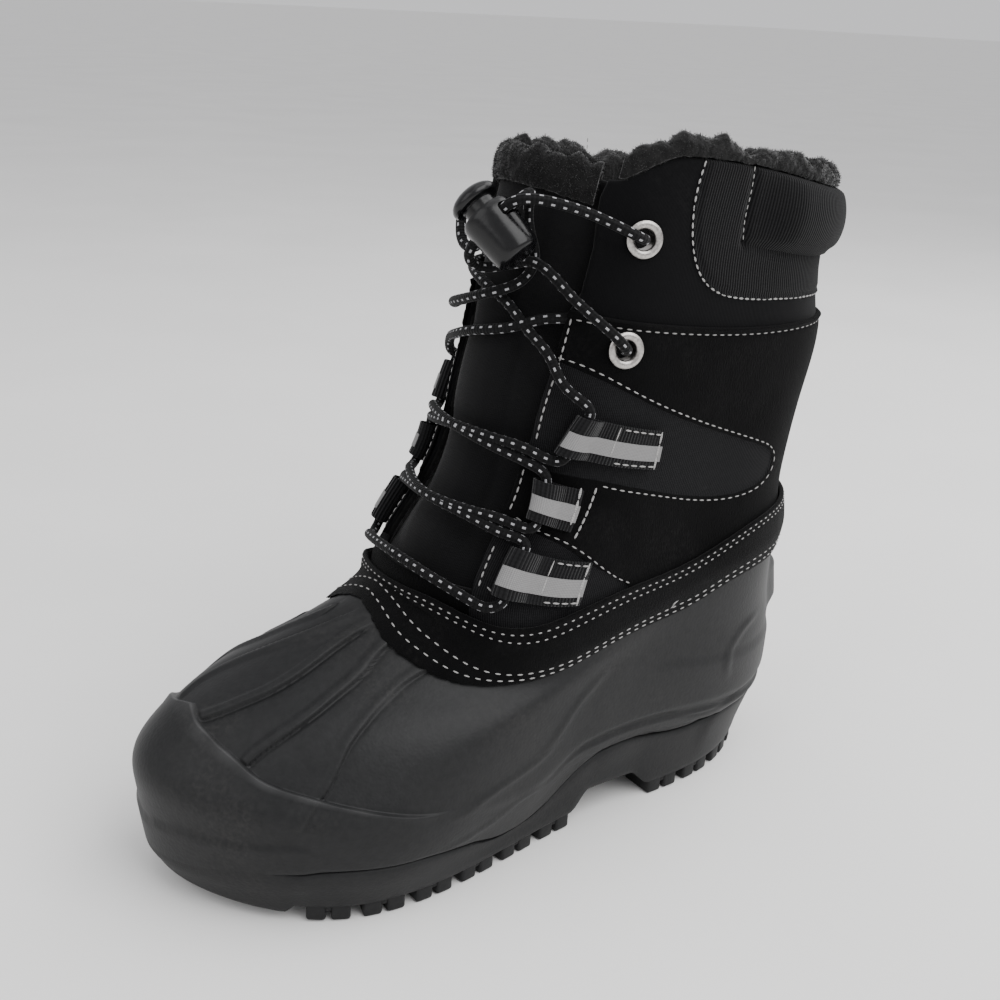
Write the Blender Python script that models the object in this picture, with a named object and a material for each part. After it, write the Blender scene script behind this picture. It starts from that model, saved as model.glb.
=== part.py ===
"""Left winter boot: a moulded rubber shell on a lugged outsole, a fabric shaft with a padded collar and a
fur lining, a suede band over the joint between them, and an elastic lace with a push-button cord lock.

The toe points along +X, the wearer's left (the outer side) is +Y and +Z is up. Sizes below are in
millimetres, measured from the back of the heel, and BOOT_MIDDLE moves the finished boot over its origin.

Run it with: blender --background --python part.py
"""
import math
from collections import namedtuple

import bmesh
import bpy
import numpy as np
from mathutils import Matrix, Vector

# ---------------------------------------------------------------- driving dimensions, mm
LENGTH = 255.0
BOOT_MIDDLE = (125.0, 0.23)
GAP = 0.3
SHELL_WALL = 3.6
SHAFT_WALL = 3.4
SUEDE = 1.6
QUARTER_STEP = 1.2
COLUMNS = 44

LUG_LENGTH = 15.0
LUG_PITCH = 18.4
LUG_DEPTH = 14.0
LUG_NOTCH = 2.0
ARCH = dict(breast=79.0, front=117.0, lift=7.0)
TOE_SPRING = dict(start=200.0, rise=6.0)
BUMPER = dict(start=223.0, underside=2.2)
BASE_UNDERSIDE = 5.0

LACE_DIAMETER = 3.8
LOOP = dict(thick=0.8, bore=2.85, lift=0.65)
ARC_PER_S = 320.0

# The cord lock stands in front of the tongue: the middle of its foot, the way from there to its button,
# and roughly the way its cross hole runs.
LOCK_FOOT = (142.4, 23.8, 202.4)
LOCK_AXIS = (8.0, -17.5, 16.8)
LOCK_HOLE_HINT = (-2.0, 5.0, 9.0)
LOCK = dict(foot=6.9, rim=8.4, length=17.5, bore=5.7, floor=3.0, stem=5.2, button=7.9, hole=13.0,
            travel=3.0)

# Half the distance between the two strands in the lock's cross hole.
STRAND = 2.15


# A ring runs round the boot at one level. Stations are at these shares of its length from back to front.
STATIONS = dict(heel=0.15, waist=0.42, ball=0.70, toe=0.90)

# level: place along the height, about the height at the side. back, front: its ends along X.
# heel, waist, ball, toe: half widths at the stations. z_*: heights. skew: its share of the foot's curve.
Ring = namedtuple("Ring", "name level back front heel waist ball toe "
                          "z_back z_heel z_waist z_ball z_toe z_front skew")
RINGS = [
    Ring("tread", 0, 10, 250, 32, 34, 44.5, 36.5, 6, 6, 6, 6, 7, 8, 1.0),
    Ring("feather", 16, 4.5, 253, 34, 36, 48, 38, 24, 25, 28, 18, 27, 27, 1.0),
    Ring("rib", 23, 2, 254, 36, 38, 49.5, 38, 31, 31, 35, 25, 33, 34, 1.0),
    Ring("bulge", 36, 0.5, 254.5, 37, 39, 49.5, 37, 42, 42, 43, 36, 41, 43, 1.0),
    Ring("shoulder", 50, 1, 248, 37, 39, 48, 33.5, 54, 54, 53, 47, 51, 53, 1.0),
    Ring("cap", 60, 2, 236, 36, 39, 46.5, 32, 63, 62, 60, 55, 60, 62, 0.9),
    Ring("vamp", 70, 3, 214, 35, 39, 45, 32, 71, 70, 68, 61, 67, 72, 0.7),
    Ring("band foot", 80, 4, 182, 34, 39, 43, 35, 85, 84, 78, 68, 72, 87, 0.4),
    Ring("band head", 100, 6, 171, 33, 38, 41, 33, 105, 104, 96, 88, 90, 95, 0.2),
    Ring("ankle", 125, 7, 153, 33, 38, 38.5, 29, 123, 122, 120, 118, 121, 124, 0.0),
    Ring("leg", 152, 3, 145, 33.5, 39.5, 38, 27, 147, 147, 149, 150, 152, 154, 0.0),
    Ring("quarter head", 180, 0, 137, 34.5, 41.5, 39, 27, 171, 173, 176, 181, 184, 186, 0.0),
    Ring("pad foot", 200, 4, 134, 34.5, 41.5, 39.5, 27, 190, 191, 196, 202, 205, 207, 0.0),
    Ring("collar", 230, 0, 128, 35, 42, 40, 27, 219, 220, 227, 232, 232, 232, 0.0),
]
LEVEL = {ring.name: ring.level for ring in RINGS}

# The foot's own curve: how far its middle line lies towards the outer side, by share of the length.
FOOT_CURVE = ((0.0, 0.0), (0.4, 2.5), (0.7, 1.0), (0.9, -5.0), (1.0, -9.0))

# The sole's top line dips just ahead of the arch: where, over what half length, and how far.
ARCH_DIP = dict(middle=141.0, reach=26.0, depth=6.0)

# The front opening: half its width along the ring's parameter, by level.
THROAT = ((104, 0.084), (117, 0.080), (124, 0.078), (138, 0.080), (145, 0.087), (164, 0.093), (180, 0.094),
          (186, 0.104), (200, 0.110), (216, 0.106), (223, 0.111), (230, 0.140))
THROAT_FOOT = 106.0


# ---------------------------------------------------------------- the boot's own surface
def table(rows, value):
    """Straight-line value from rows of (place, value)."""
    return float(np.interp(value, [row[0] for row in rows], [row[1] for row in rows]))


def smooth(value, start, end):
    """0 before start and 1 after end, with a soft change between them."""
    share = min(1.0, max(0.0, (value - start) / (end - start)))
    return share * share * (3.0 - 2.0 * share)


def from_toe(s):
    """Distance in s from the toe or the front of the leg, the same on both sides."""
    return abs(s % 1.0 - 0.5)


def ring_corners(ring):
    """The ten points that a ring's closed curve runs through, from the heel round the outer side."""
    span = ring.front - ring.back
    heights = (ring.z_heel, ring.z_waist, ring.z_ball, ring.z_toe)
    widths = (ring.heel, ring.waist, ring.ball, ring.toe)

    def corner(share, half_width, height):
        middle = ring.skew * table(FOOT_CURVE, share)
        return (ring.back + share * span, middle + half_width, height)

    outer = [corner(share, w, z) for share, w, z in zip(STATIONS.values(), widths, heights)]
    inner = [corner(share, -w, z) for share, w, z in zip(STATIONS.values(), widths, heights)]
    heel = corner(0.0, 0.0, ring.z_back)
    toe = corner(1.0, 0.0, ring.z_front)
    return np.array([heel, *outer, toe, *reversed(inner)])


def closed_bends(points):
    """Second derivatives of the closed cubic curve through points at even steps."""
    count = len(points)
    matrix = 4.0 * np.eye(count) + np.roll(np.eye(count), 1, 0) + np.roll(np.eye(count), -1, 0)
    ends = np.roll(points, -1, 0) - 2.0 * points + np.roll(points, 1, 0)
    return np.linalg.solve(matrix, 6.0 * ends)


def open_bends(places, values):
    """Second derivatives of the natural cubic curve through values at places."""
    step = np.diff(places)
    count = len(places)
    matrix = np.eye(count)
    ends = np.zeros_like(values)
    for i in range(1, count - 1):
        matrix[i, i - 1: i + 2] = step[i - 1], 2.0 * (step[i - 1] + step[i]), step[i]
        ends[i] = 6.0 * ((values[i + 1] - values[i]) / step[i] - (values[i] - values[i - 1]) / step[i - 1])
    return np.linalg.solve(matrix, ends)


CORNERS = np.array([ring_corners(ring) for ring in RINGS])
BENDS = np.array([closed_bends(points) for points in CORNERS])
LEVELS = np.array([ring.level for ring in RINGS], float)


def on_rings(s):
    """The point at parameter s of every ring."""
    place = (s % 1.0) * CORNERS.shape[1]
    i = int(place)
    j = (i + 1) % CORNERS.shape[1]
    b = place - i
    a = 1.0 - b
    return (a * CORNERS[:, i] + b * CORNERS[:, j]
            + ((a ** 3 - a) * BENDS[:, i] + (b ** 3 - b) * BENDS[:, j]) / 6.0)


def skin(s, level):
    """A point of the boot's outer surface. s runs 0 to 1 from the heel by the outer side; 0.5 is the toe."""
    column = on_rings(s)
    bends = open_bends(LEVELS, column)
    i = int(np.clip(np.searchsorted(LEVELS, level) - 1, 0, len(LEVELS) - 2))
    step = LEVELS[i + 1] - LEVELS[i]
    b = (level - LEVELS[i]) / step
    a = 1.0 - b
    point = (a * column[i] + b * column[i + 1]
             + ((a ** 3 - a) * bends[i] + (b ** 3 - b) * bends[i + 1]) * step ** 2 / 6.0)
    point[2] -= arch_dip(point[0]) * smooth(level, 4, 14) * (1.0 - smooth(level, 24, 48))
    return point


def arch_dip(x):
    share = abs(x - ARCH_DIP["middle"]) / ARCH_DIP["reach"]
    return ARCH_DIP["depth"] * (1.0 - smooth(share, 0.0, 1.0))


def normal(s, level):
    """The outward direction of the surface."""
    along = skin(s + 0.004, level) - skin(s - 0.004, level)
    up = skin(s, level + 0.8) - skin(s, level - 0.8)
    out = np.cross(up, along)
    return out / np.linalg.norm(out)


def raised(s, level, height):
    """A point this far outside the surface, or inside it where height is negative."""
    return skin(s, level) + height * normal(s, level)


# ---------------------------------------------------------------- mesh helpers
def material(name, colour, roughness, metallic=0.0):
    made = bpy.data.materials.new(name)
    made.use_nodes = True
    shader = made.node_tree.nodes["Principled BSDF"]
    shader.inputs["Base Color"].default_value = (*colour, 1.0)
    shader.inputs["Roughness"].default_value = roughness
    shader.inputs["Metallic"].default_value = metallic
    return made


def to_world(point):
    return Vector(((point[0] - BOOT_MIDDLE[0]) / 1000, (point[1] - BOOT_MIDDLE[1]) / 1000, point[2] / 1000))


def make_object(name, bm, finish):
    """A named object from a mesh in world metres, smooth except at its real corners."""
    bmesh.ops.recalc_face_normals(bm, faces=bm.faces)
    if bm.calc_volume(signed=True) < 0:
        bmesh.ops.reverse_faces(bm, faces=bm.faces)
    mesh = bpy.data.meshes.new(name)
    bm.to_mesh(mesh)
    bm.free()
    mesh.shade_smooth()
    mesh.set_sharp_from_angle(angle=math.radians(40))
    made = bpy.data.objects.new(name, mesh)
    bpy.context.scene.collection.objects.link(made)
    if finish is not None:
        made.data.materials.append(finish)
    return made


def swept(sections, closed):
    """A solid through closed outlines with the same number of points. Each outline is a wall's outer points
    followed by its inner points in reverse, so an open sweep is capped with a strip of quads."""
    bm = bmesh.new()
    loops = [[bm.verts.new(to_world(point)) for point in section] for section in sections]
    size = len(sections[0])
    pairs = list(zip(loops, loops[1:] + loops[:1])) if closed else list(zip(loops, loops[1:]))
    for first, second in pairs:
        for i in range(size):
            j = (i + 1) % size
            bm.faces.new((first[i], first[j], second[j], second[i]))
    if not closed:
        for loop in (loops[0], loops[-1]):
            for i in range(size // 2 - 1):
                bm.faces.new((loop[i], loop[i + 1], loop[size - 2 - i], loop[size - 1 - i]))
    return bm


def wall_sections(s_values, outer, inner):
    """Outlines of a wall: outer(s) and inner(s) each give its points from the bottom up."""
    return [list(outer(s)) + list(reversed(list(inner(s)))) for s in s_values]


def ladder(bm, loop, upward):
    """Closes a ring of vertices that matches left and right, with one rung from side to side at a time."""
    count = len(loop)
    for i in range(count // 2):
        rung = [loop[i], loop[i + 1], loop[count - i - 1], loop[-i] if i else loop[0]]
        corners = list(dict.fromkeys(rung))
        bm.faces.new(corners if upward else list(reversed(corners)))


def slab(loops):
    """A solid from stacked rings, with a ladder of faces closing the lowest and the highest."""
    bm = bmesh.new()
    rings = [[bm.verts.new(to_world(point)) for point in loop] for loop in loops]
    for low, high in zip(rings, rings[1:]):
        for i in range(len(low)):
            j = (i + 1) % len(low)
            bm.faces.new((low[i], low[j], high[j], high[i]))
    ladder(bm, rings[0], False)
    ladder(bm, rings[-1], True)
    return bm


def helper(made):
    made.hide_render = True
    made.display_type = "WIRE"
    return made


def apply_boolean(target, cutter, operation):
    """Joins or cuts with an exact Boolean, keeps its result as the mesh and removes the cutter."""
    modifier = target.modifiers.new(operation.title(), "BOOLEAN")
    modifier.operation = operation
    modifier.solver = "EXACT"
    modifier.use_self = True
    modifier.object = cutter
    graph = bpy.context.evaluated_depsgraph_get()
    result = bpy.data.meshes.new_from_object(target.evaluated_get(graph))
    target.modifiers.clear()
    target.data = result
    bpy.data.objects.remove(cutter)
    return target


def turned(profile, sides, place):
    """A closed solid turned about +Z from (radius, height) points, then set by the matrix place."""
    bm = bmesh.new()
    loops = []
    for k in range(sides):
        angle = 2.0 * math.pi * k / sides
        loops.append([bm.verts.new((r * math.cos(angle), r * math.sin(angle), z)) for r, z in profile])
    for first, second in zip(loops, loops[1:] + loops[:1]):
        for i in range(len(profile)):
            j = (i + 1) % len(profile)
            if profile[i][0] > 0 or profile[j][0] > 0:
                bm.faces.new((first[i], first[j], second[j], second[i]))
    bmesh.ops.remove_doubles(bm, verts=bm.verts, dist=1e-4)
    bm.transform(place)
    return bm


def place_along(point, axis, side=(0.0, 0.0, 1.0)):
    """A matrix in world metres that sets local +Z along axis at point, and scales millimetres down."""
    z = Vector(axis).normalized()
    x = Vector(side).cross(z)
    x = x.normalized() if x.length > 1e-6 else Vector((1.0, 0.0, 0.0))
    y = z.cross(x)
    turn = Matrix((x, y, z)).transposed().to_4x4()
    return Matrix.Translation(to_world(point)) @ turn @ Matrix.Scale(0.001, 4)


def stand(made, place):
    """Gives a piece its own origin and turn, its shape staying where it is."""
    turn = place @ Matrix.Scale(1000.0, 4)
    made.data.transform(turn.inverted())
    made.matrix_world = turn
    return made


def smooth_route(points, step):
    """Points about step apart on a smooth curve through the route's own points."""
    points = np.array(points, float)
    places = np.concatenate([[0.0], np.cumsum(np.linalg.norm(np.diff(points, axis=0), axis=1))])
    bends = open_bends(places, points)
    made = []
    for place in np.linspace(0.0, places[-1], max(2, int(round(places[-1] / step)) + 1)):
        i = int(np.clip(np.searchsorted(places, place) - 1, 0, len(places) - 2))
        size = places[i + 1] - places[i]
        b = (place - places[i]) / size
        a = 1.0 - b
        made.append(a * points[i] + b * points[i + 1]
                    + ((a ** 3 - a) * bends[i] + (b ** 3 - b) * bends[i + 1]) * size ** 2 / 6.0)
    return made


def cord(name, points, diameter, finish, step):
    """A round cord as a curve with a bevel and filled ends."""
    curve = bpy.data.curves.new(name, "CURVE")
    curve.dimensions = "3D"
    curve.bevel_depth = diameter / 2000
    curve.bevel_resolution = 2
    curve.use_fill_caps = True
    route = smooth_route(points, step)
    spline = curve.splines.new("POLY")
    spline.points.add(len(route) - 1)
    for target, point in zip(spline.points, route):
        target.co = (*to_world(point), 1.0)
    made = bpy.data.objects.new(name, curve)
    bpy.context.scene.collection.objects.link(made)
    curve.materials.append(finish)
    return made


# ---------------------------------------------------------------- outsole
def underside(x):
    """Height of the sole's base under the foot: lug depth, the raised arch and the toe spring."""
    rising = smooth(x, ARCH["breast"], ARCH["breast"] + 9)
    falling = 1 - smooth(x, ARCH["front"] - 9, ARCH["front"])
    bumper = (BUMPER["underside"] - BASE_UNDERSIDE) * smooth(x, BUMPER["start"], BUMPER["start"] + 3)
    return BASE_UNDERSIDE + bumper + ARCH["lift"] * rising * falling + spring(x)


def spring(x):
    share = max(0.0, (x - TOE_SPRING["start"]) / (LENGTH - TOE_SPRING["start"]))
    return TOE_SPRING["rise"] * share ** 2


def ring_point(s, level, inset, height=None):
    """A point on a level, moved inwards on plan, at its own height or at the height given."""
    point = skin(s, level)
    along = skin(s + 0.004, level) - skin(s - 0.004, level)
    inward = np.array([along[1], -along[0], 0.0])
    point = point + inset * inward / np.linalg.norm(inward)
    if height is not None:
        point[2] = height
    return point


def tread_arcs(steps=400):
    """Distance round the tread's edge for evenly spaced s, and those s."""
    s_values = np.linspace(0.0, 1.0, steps + 1)
    points = np.array([skin(s, LEVEL["tread"]) for s in s_values])
    arcs = np.concatenate([[0.0], np.cumsum(np.linalg.norm(np.diff(points, axis=0), axis=1))])
    return s_values, arcs


def prism(bm, near, far):
    """Adds a closed prism between two matching outlines."""
    first = [bm.verts.new(to_world(point)) for point in near]
    second = [bm.verts.new(to_world(point)) for point in far]
    for i in range(len(first)):
        j = (i + 1) % len(first)
        bm.faces.new((first[i], first[j], second[j], second[i]))
    bm.faces.new(list(reversed(first)))
    bm.faces.new(second)


def edge_lug(bm, s_at, start):
    """One lug of the sole's edge, notched in the middle, from its place round the edge."""
    middle = start + LUG_LENGTH / 2
    profile = ((start, None), (start, 0), (middle - 1.0, 0), (middle, LUG_NOTCH), (middle + 1.0, 0),
               (start + LUG_LENGTH, 0), (start + LUG_LENGTH, None))
    outlines = []
    for inset in (0.7, LUG_DEPTH):
        outline = []
        for arc, height in profile:
            point = ring_point(s_at(arc), LEVEL["tread"], inset)
            top = underside(point[0]) + 1.2
            point[2] = top if height is None else height + spring(point[0])
            outline.append(point)
        outlines.append(outline)
    prism(bm, *outlines)


def middle_lug(bm, x, length, half_width, sweep):
    """A bar across the middle of the tread, swept forwards at its ends."""
    rows = ((-half_width, sweep), (0.0, 0.0), (half_width, sweep))
    outline = [(x + push, y) for y, push in rows] + [(x + length + push, y) for y, push in reversed(rows)]
    bottom = [(px, py, spring(px)) for px, py in outline]
    top = [(px, py, underside(px) + 1.2) for px, py in outline]
    prism(bm, bottom, top)


def make_outsole(finish):
    columns = [i / COLUMNS for i in range(COLUMNS)]
    side_rows = ((0, 0.0), (7, 0.0), (8, -0.9), (15, -0.9), (16, 0.0))
    loops = []
    for level, inset in side_rows:
        loop = [ring_point(s, level, inset) for s in columns]
        if level == 0:
            for point in loop:
                point[2] = underside(point[0])
        loops.append(loop)
    base = make_object("outsole", slab(loops), finish)

    s_values, arcs = tread_arcs()

    def s_at(arc):
        return float(np.interp(arc % arcs[-1], arcs, s_values))

    def arc_at_x(x, outer):
        half = slice(0, len(arcs) // 2) if outer else slice(len(arcs) // 2, None)
        xs = np.array([skin(s, LEVEL["tread"])[0] for s in s_values[half]])
        order = np.argsort(xs)
        return float(np.interp(x, xs[order], arcs[half][order]))

    lugs = bmesh.new()
    for outer, turn in ((True, 1), (False, -1)):
        fore = arc_at_x(ARCH["front"], outer)
        heel = arc_at_x(ARCH["breast"], outer)
        for k in range(6):
            start = fore + turn * k * LUG_PITCH
            edge_lug(lugs, s_at, start if outer else start - LUG_LENGTH)
        for k in range(4):
            start = heel - turn * k * LUG_PITCH
            edge_lug(lugs, s_at, start - LUG_LENGTH if outer else start)
    for k in range(6):
        middle_lug(lugs, 122.0 + k * LUG_PITCH, 9.0, 21.0 if k < 4 else 17.0, 5.0)
    for k in range(2):
        middle_lug(lugs, 38.0 + k * LUG_PITCH, 9.0, 13.0, 4.0)
    return apply_boolean(base, make_object("lug cutter", lugs, finish), "UNION")


# ---------------------------------------------------------------- shell
RIDGES = (-0.125, -0.079, -0.022, 0.022, 0.079, 0.125)

# The upper edge of the toe cap and of the raised side panel that follows it: level by distance from the toe.
CAP_EDGE = ((0.0, 59.5), (0.014, 58.4), (0.066, 50.9), (0.114, 44.7), (0.174, 38.0), (0.205, 40.0),
            (0.24, 52.0), (0.27, 66.0), (0.29, 66.3), (0.315, 60.0), (0.345, 50.0), (0.40, 46.0),
            (0.50, 46.0))


def shell_relief(s, level):
    """How far the shell stands proud of the plain surface: toe cap, ridges, side ribs, heel ledge."""
    toe = from_toe(s)
    edge = table(CAP_EDGE, toe)
    softness = 2.0 + 5.0 * smooth(toe, 0.16, 0.24)
    relief = 1.3 * (1 - smooth(level, edge, edge + softness))
    relief -= 0.9 * smooth(toe, 0.19, 0.25) * (1 - smooth(level, 24.0, 30.0))
    heel_rib = smooth(toe, 0.26, 0.30)
    relief += heel_rib * 1.2 * (1 - smooth(abs(level - 20.5), 2.0, 4.0))
    for ridge in RIDGES:
        line = 1 - smooth(abs(s % 1.0 - 0.5 - ridge), 0.003, 0.009)
        start = table(CAP_EDGE, abs(ridge)) + 1.0
        height = 1.2 if abs(ridge) < 0.1 else 0.8
        relief += height * line * smooth(level, start, start + 3) * (1 - smooth(level, 76, 84))
    heel = 0.5 - from_toe(s)
    relief += 7.0 * (1 - smooth(heel, 0.012, 0.017)) * smooth(level, 62, 64) * (1 - smooth(level, 76, 80))
    return relief


def shell_columns():
    """Even columns, with closer ones at the vamp's ridges and the heel's ledge."""
    base = [i / COLUMNS for i in range(COLUMNS)]
    extra = [0.5 + ridge + side for ridge in RIDGES for side in (-0.009, 0.0, 0.009)]
    extra += [0.011, 0.018, 0.982, 0.989]
    kept = [s for s in base if all(abs(s - e) > 0.0055 for e in extra)]
    return sorted(kept + extra)


SHELL_TOP = 90.0


def make_shell(finish):
    outer_levels = (16.4, 18, 22.5, 25, 34, 44, 50, 55, 60, 66, 72, 77, 80, 84, SHELL_TOP - 0.4)
    inner_levels = (16.4, 23, 33, 44, 54, 62, 70, 78, SHELL_TOP - 0.4)

    def outer(s):
        return [raised(s, level, shell_relief(s, level)) for level in outer_levels]

    def inner(s):
        return [raised(s, level, -SHELL_WALL) for level in inner_levels]

    return make_object("shell", swept(wall_sections(shell_columns(), outer, inner), True), finish)


# ---------------------------------------------------------------- insole
def make_insole(finish):
    columns = [i / COLUMNS for i in range(COLUMNS)]
    loops = []
    for lift, inset in ((1.0, 4.8), (4.0, 4.6), (5.0, 5.4)):
        loop = [ring_point(s, LEVEL["feather"], inset) for s in columns]
        for point in loop:
            point[2] += lift
        loops.append(loop)
    return make_object("insole", slab(loops), finish)


# ---------------------------------------------------------------- shaft
PAD_FOOT = 202.0
LEG_COLUMNS = 36
EYELETS = ((0.3363, 204.3), (0.3369, 171.9))
LEG_LEVELS = (SHELL_TOP + 0.5, 96, 103, 116, 130, 146, 162, 179.2, 180.8, 189, 191, 202, 206, 215, 223, 230)


def throat(level):
    """Half the width of the front opening at this level."""
    return table(THROAT, level)


def collar_top(s):
    """Level of the collar's edge: rounded down at its front corners and a little slumped inside."""
    corner = 8.0 * (1 - smooth(from_toe(s), 0.105, 0.150)) ** 2
    slump = 9.0 * smooth(s % 1.0, 0.55, 0.66) * (1 - smooth(s % 1.0, 0.78, 0.95))
    return LEVEL["collar"] - corner - slump


def flap_place(share, level):
    """s at a share of the way round the leg, from one edge of the front opening to the other."""
    half = throat(level)
    return 0.5 + half + share * (1.0 - 2 * half)


def rim(share):
    """Level of the collar's edge between the leg's columns, which it joins in straight lines."""
    columns = [k / LEG_COLUMNS for k in range(LEG_COLUMNS + 1)]
    tops = [collar_top(flap_place(column, 150)) for column in columns]
    return float(np.interp(share, columns, tops))


def pad_bulge(s, level):
    """The collar's foam pad, round the back of the leg."""
    back = smooth(from_toe(s), 0.268, 0.29)
    share = (level - PAD_FOOT) / (collar_top(s) - PAD_FOOT)
    if not 0.0 < share < 1.0:
        return 0.0
    return 5.6 * back * math.sin(math.pi * share) ** 0.6


def shaft_relief(s, level):
    """How far the suede quarter, the cuff behind its seam and the foam pad stand proud."""
    quarter = QUARTER_STEP * (1 - smooth(level, LEVEL["quarter head"] - 0.6, LEVEL["quarter head"] + 0.6))
    cuff = 0.8 * smooth(from_toe(s), 0.21, 0.23) * smooth(level, 189.5, 190.8)
    return quarter + cuff + pad_bulge(s, level)


def leg_section(share):
    """The wall's outline at one place between the two edges of the front opening."""
    outer, inner = [], []
    stretch = (rim(share) - PAD_FOOT) / (LEG_LEVELS[-1] - PAD_FOOT)
    for row in LEG_LEVELS:
        level = row if row < PAD_FOOT else PAD_FOOT + (row - PAD_FOOT) * stretch
        s = flap_place(share, level)
        outer.append(raised(s, level, shaft_relief(s, level)))
        inner.append(raised(s, level, -SHAFT_WALL))
    return outer + inner[::-1]


def front_bridge(finish):
    """The panel that closes the foot of the front opening behind the lowest bar of the lace."""
    levels = (SHELL_TOP + 0.4, 96, THROAT_FOOT)
    columns = np.linspace(0.5 - 0.1, 0.5 + 0.1, 13)

    def outer(s):
        return [raised(s, level, 0.3) for level in levels]

    def inner(s):
        return [raised(s, level, 0.3 - SHAFT_WALL) for level in levels]

    return make_object("front bridge", swept(wall_sections(columns, outer, inner), False), finish)


def make_shaft(finish):
    sections = [leg_section(k / LEG_COLUMNS) for k in range(LEG_COLUMNS + 1)]
    leg = make_object("shaft", swept(sections, False), finish)
    apply_boolean(leg, front_bridge(finish), "UNION")
    for s, level in EYELETS:
        for side in (s, 1.0 - s):
            hole = turned(((0, -9), (4.3, -9), (4.3, 6), (0, 6)), 16, on_leg(side, level))
            apply_boolean(leg, helper(make_object("eyelet hole", hole, None)), "DIFFERENCE")
    return leg


def on_leg(s, level):
    """A frame standing on the leg's outer face, with +Z outwards."""
    return place_along(raised(s, level, shaft_relief(s, level)), normal(s, level))


# ---------------------------------------------------------------- tongue
TONGUE = dict(foot=97.0, head=226.0, spread=0.030, tucked=-4.5, edge=2.2, middle=5.0, round=7.0)


def tongue_half(level):
    """Half the tongue's width: it reaches a little way behind both flaps."""
    return throat(min(level, 205)) + TONGUE["spread"]


def tongue_face(s, level):
    """Offset of the tongue's outer face: tucked behind the flaps, and puffed up in the opening."""
    centre = 1 - smooth(from_toe(s), 0.2 * throat(level), throat(level) - 0.016)
    free = smooth(level, THROAT_FOOT + 1, THROAT_FOOT + 12)
    out = -1.2 - 0.8 * smooth(level, 185, 200)
    return TONGUE["tucked"] + (out - TONGUE["tucked"]) * centre * free


def tongue_thickness(share):
    return TONGUE["edge"] + (TONGUE["middle"] - TONGUE["edge"]) * (1 - share ** 2)


def make_tongue(finish):
    sections = []
    for share in np.linspace(-1.0, 1.0, 17):
        outer, inner = [], []
        for row in np.linspace(TONGUE["foot"], TONGUE["head"], 15):
            s = 0.5 + share * tongue_half(row)
            level = row - TONGUE["round"] * smooth(row, 180, TONGUE["head"]) * share ** 2
            face = tongue_face(s, level)
            outer.append(raised(s, level, face))
            inner.append(raised(s, level, face - tongue_thickness(share)))
        sections.append(outer + inner[::-1])
    return make_object("tongue", swept(sections, False), finish)


# ---------------------------------------------------------------- fur
def pile(s, seed):
    """An uneven height for the fur's edge, mm."""
    waves = ((23.0, 0.9), (41.0, 0.7), (67.0, 0.5), (101.0, 0.35))
    total = 0.0
    for i, (rate, size) in enumerate(waves):
        total += size * math.sin(2 * math.pi * rate * s + seed * (i + 1))
    return total


def above(s, level, offset):
    """A point of the surface carried straight up beyond the collar's level."""
    top = LEVEL["collar"]
    point = raised(s, min(level, top), offset)
    point[2] += max(0.0, level - top)
    return point


def collar_fur_outline(share):
    """The fur's outline on the collar: a fringe on its edge that hangs down inside, clear of the tongue."""
    top = rim(share)
    s = flap_place(share, top)
    lift = pile(s, 1.0)
    free = smooth(from_toe(s), 0.152, 0.190)
    hang = -SHAFT_WALL - 0.2 - 0.7 * smooth(from_toe(s), 0.142, 0.150)
    inside = 0.06 + 0.94 * free

    def inward(offset, level):
        return hang + (offset - hang) * inside, top + 1.6 + (level - top - 1.2) * inside

    rows = [inward(hang, 209), inward(hang, 218), (hang, top + 1.6), (-0.6, top + 1.6), (0.1, top + 2.9),
            (-0.8, top + 5.4 + lift), (-3.4, top + 6.8 + lift),
            (hang - 2.8 * inside, top + 5.2 + 0.7 * lift), inward(-8.8, top + 1.2),
            inward(-9.4 - 0.4 * lift, top - 6), inward(-8.4, 213), inward(-5.5, 209)]
    return [above(s, level, offset) for offset, level in rows]


def make_collar_fur(finish):
    shares = np.arange(1, 2 * LEG_COLUMNS) / (2 * LEG_COLUMNS)
    return make_object("collar_fur", swept([collar_fur_outline(share) for share in shares], False), finish)


def tongue_fur_outline(share):
    """The fur's outline over the tongue's upper edge."""
    s = 0.5 + share * tongue_half(TONGUE["head"])
    top = TONGUE["head"] - TONGUE["round"] * share ** 2
    lift = pile(s, 2.3)

    def face(level):
        return tongue_face(s, level) + 0.9

    def back(level):
        return tongue_face(s, level) - tongue_thickness(share) - 0.9

    middle = face(top) / 2 + back(top) / 2
    rows = [(face(top - 9), top - 9), (face(top - 5), top - 5), (face(top), top + 0.9),
            (back(top), top + 0.9), (back(top - 6), top - 6), (back(top - 9), top - 9),
            (back(top - 13), top - 13),
            (back(top - 12) - 2.6, top - 12), (back(top - 5) - 3.4, top - 5), (back(top) - 2.4, top + 2),
            (middle, top + 5.4 + lift), (face(top) + 1.8, top + 3.4 + lift), (face(top - 4) + 2.4, top - 4),
            (face(top - 8.6) + 1.3, top - 8.6)]
    return [above(s, level, offset) for offset, level in rows]


def make_tongue_fur(finish):
    shares = np.linspace(-0.70, 0.70, 29)
    return make_object("tongue_fur", swept([tongue_fur_outline(share) for share in shares], False), finish)


# ---------------------------------------------------------------- eyelets, loops and pull tab
# Webbing loops on the outer side: front and rear ends of the middle line, and the lean of the front fold.
Loop = namedtuple("Loop", "name front_s front_level rear_s rear_level lean")
LOOPS = (
    Loop("upper", 0.3700, 148.0, 0.268, 142.6, 0.0085),
    Loop("middle", 0.3905, 129.0, 0.346, 127.4, -0.002),
    Loop("lower", 0.3885, 111.2, 0.306, 108.6, 0.0),
)
SIDES = (("lateral", False), ("medial", True))


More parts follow.
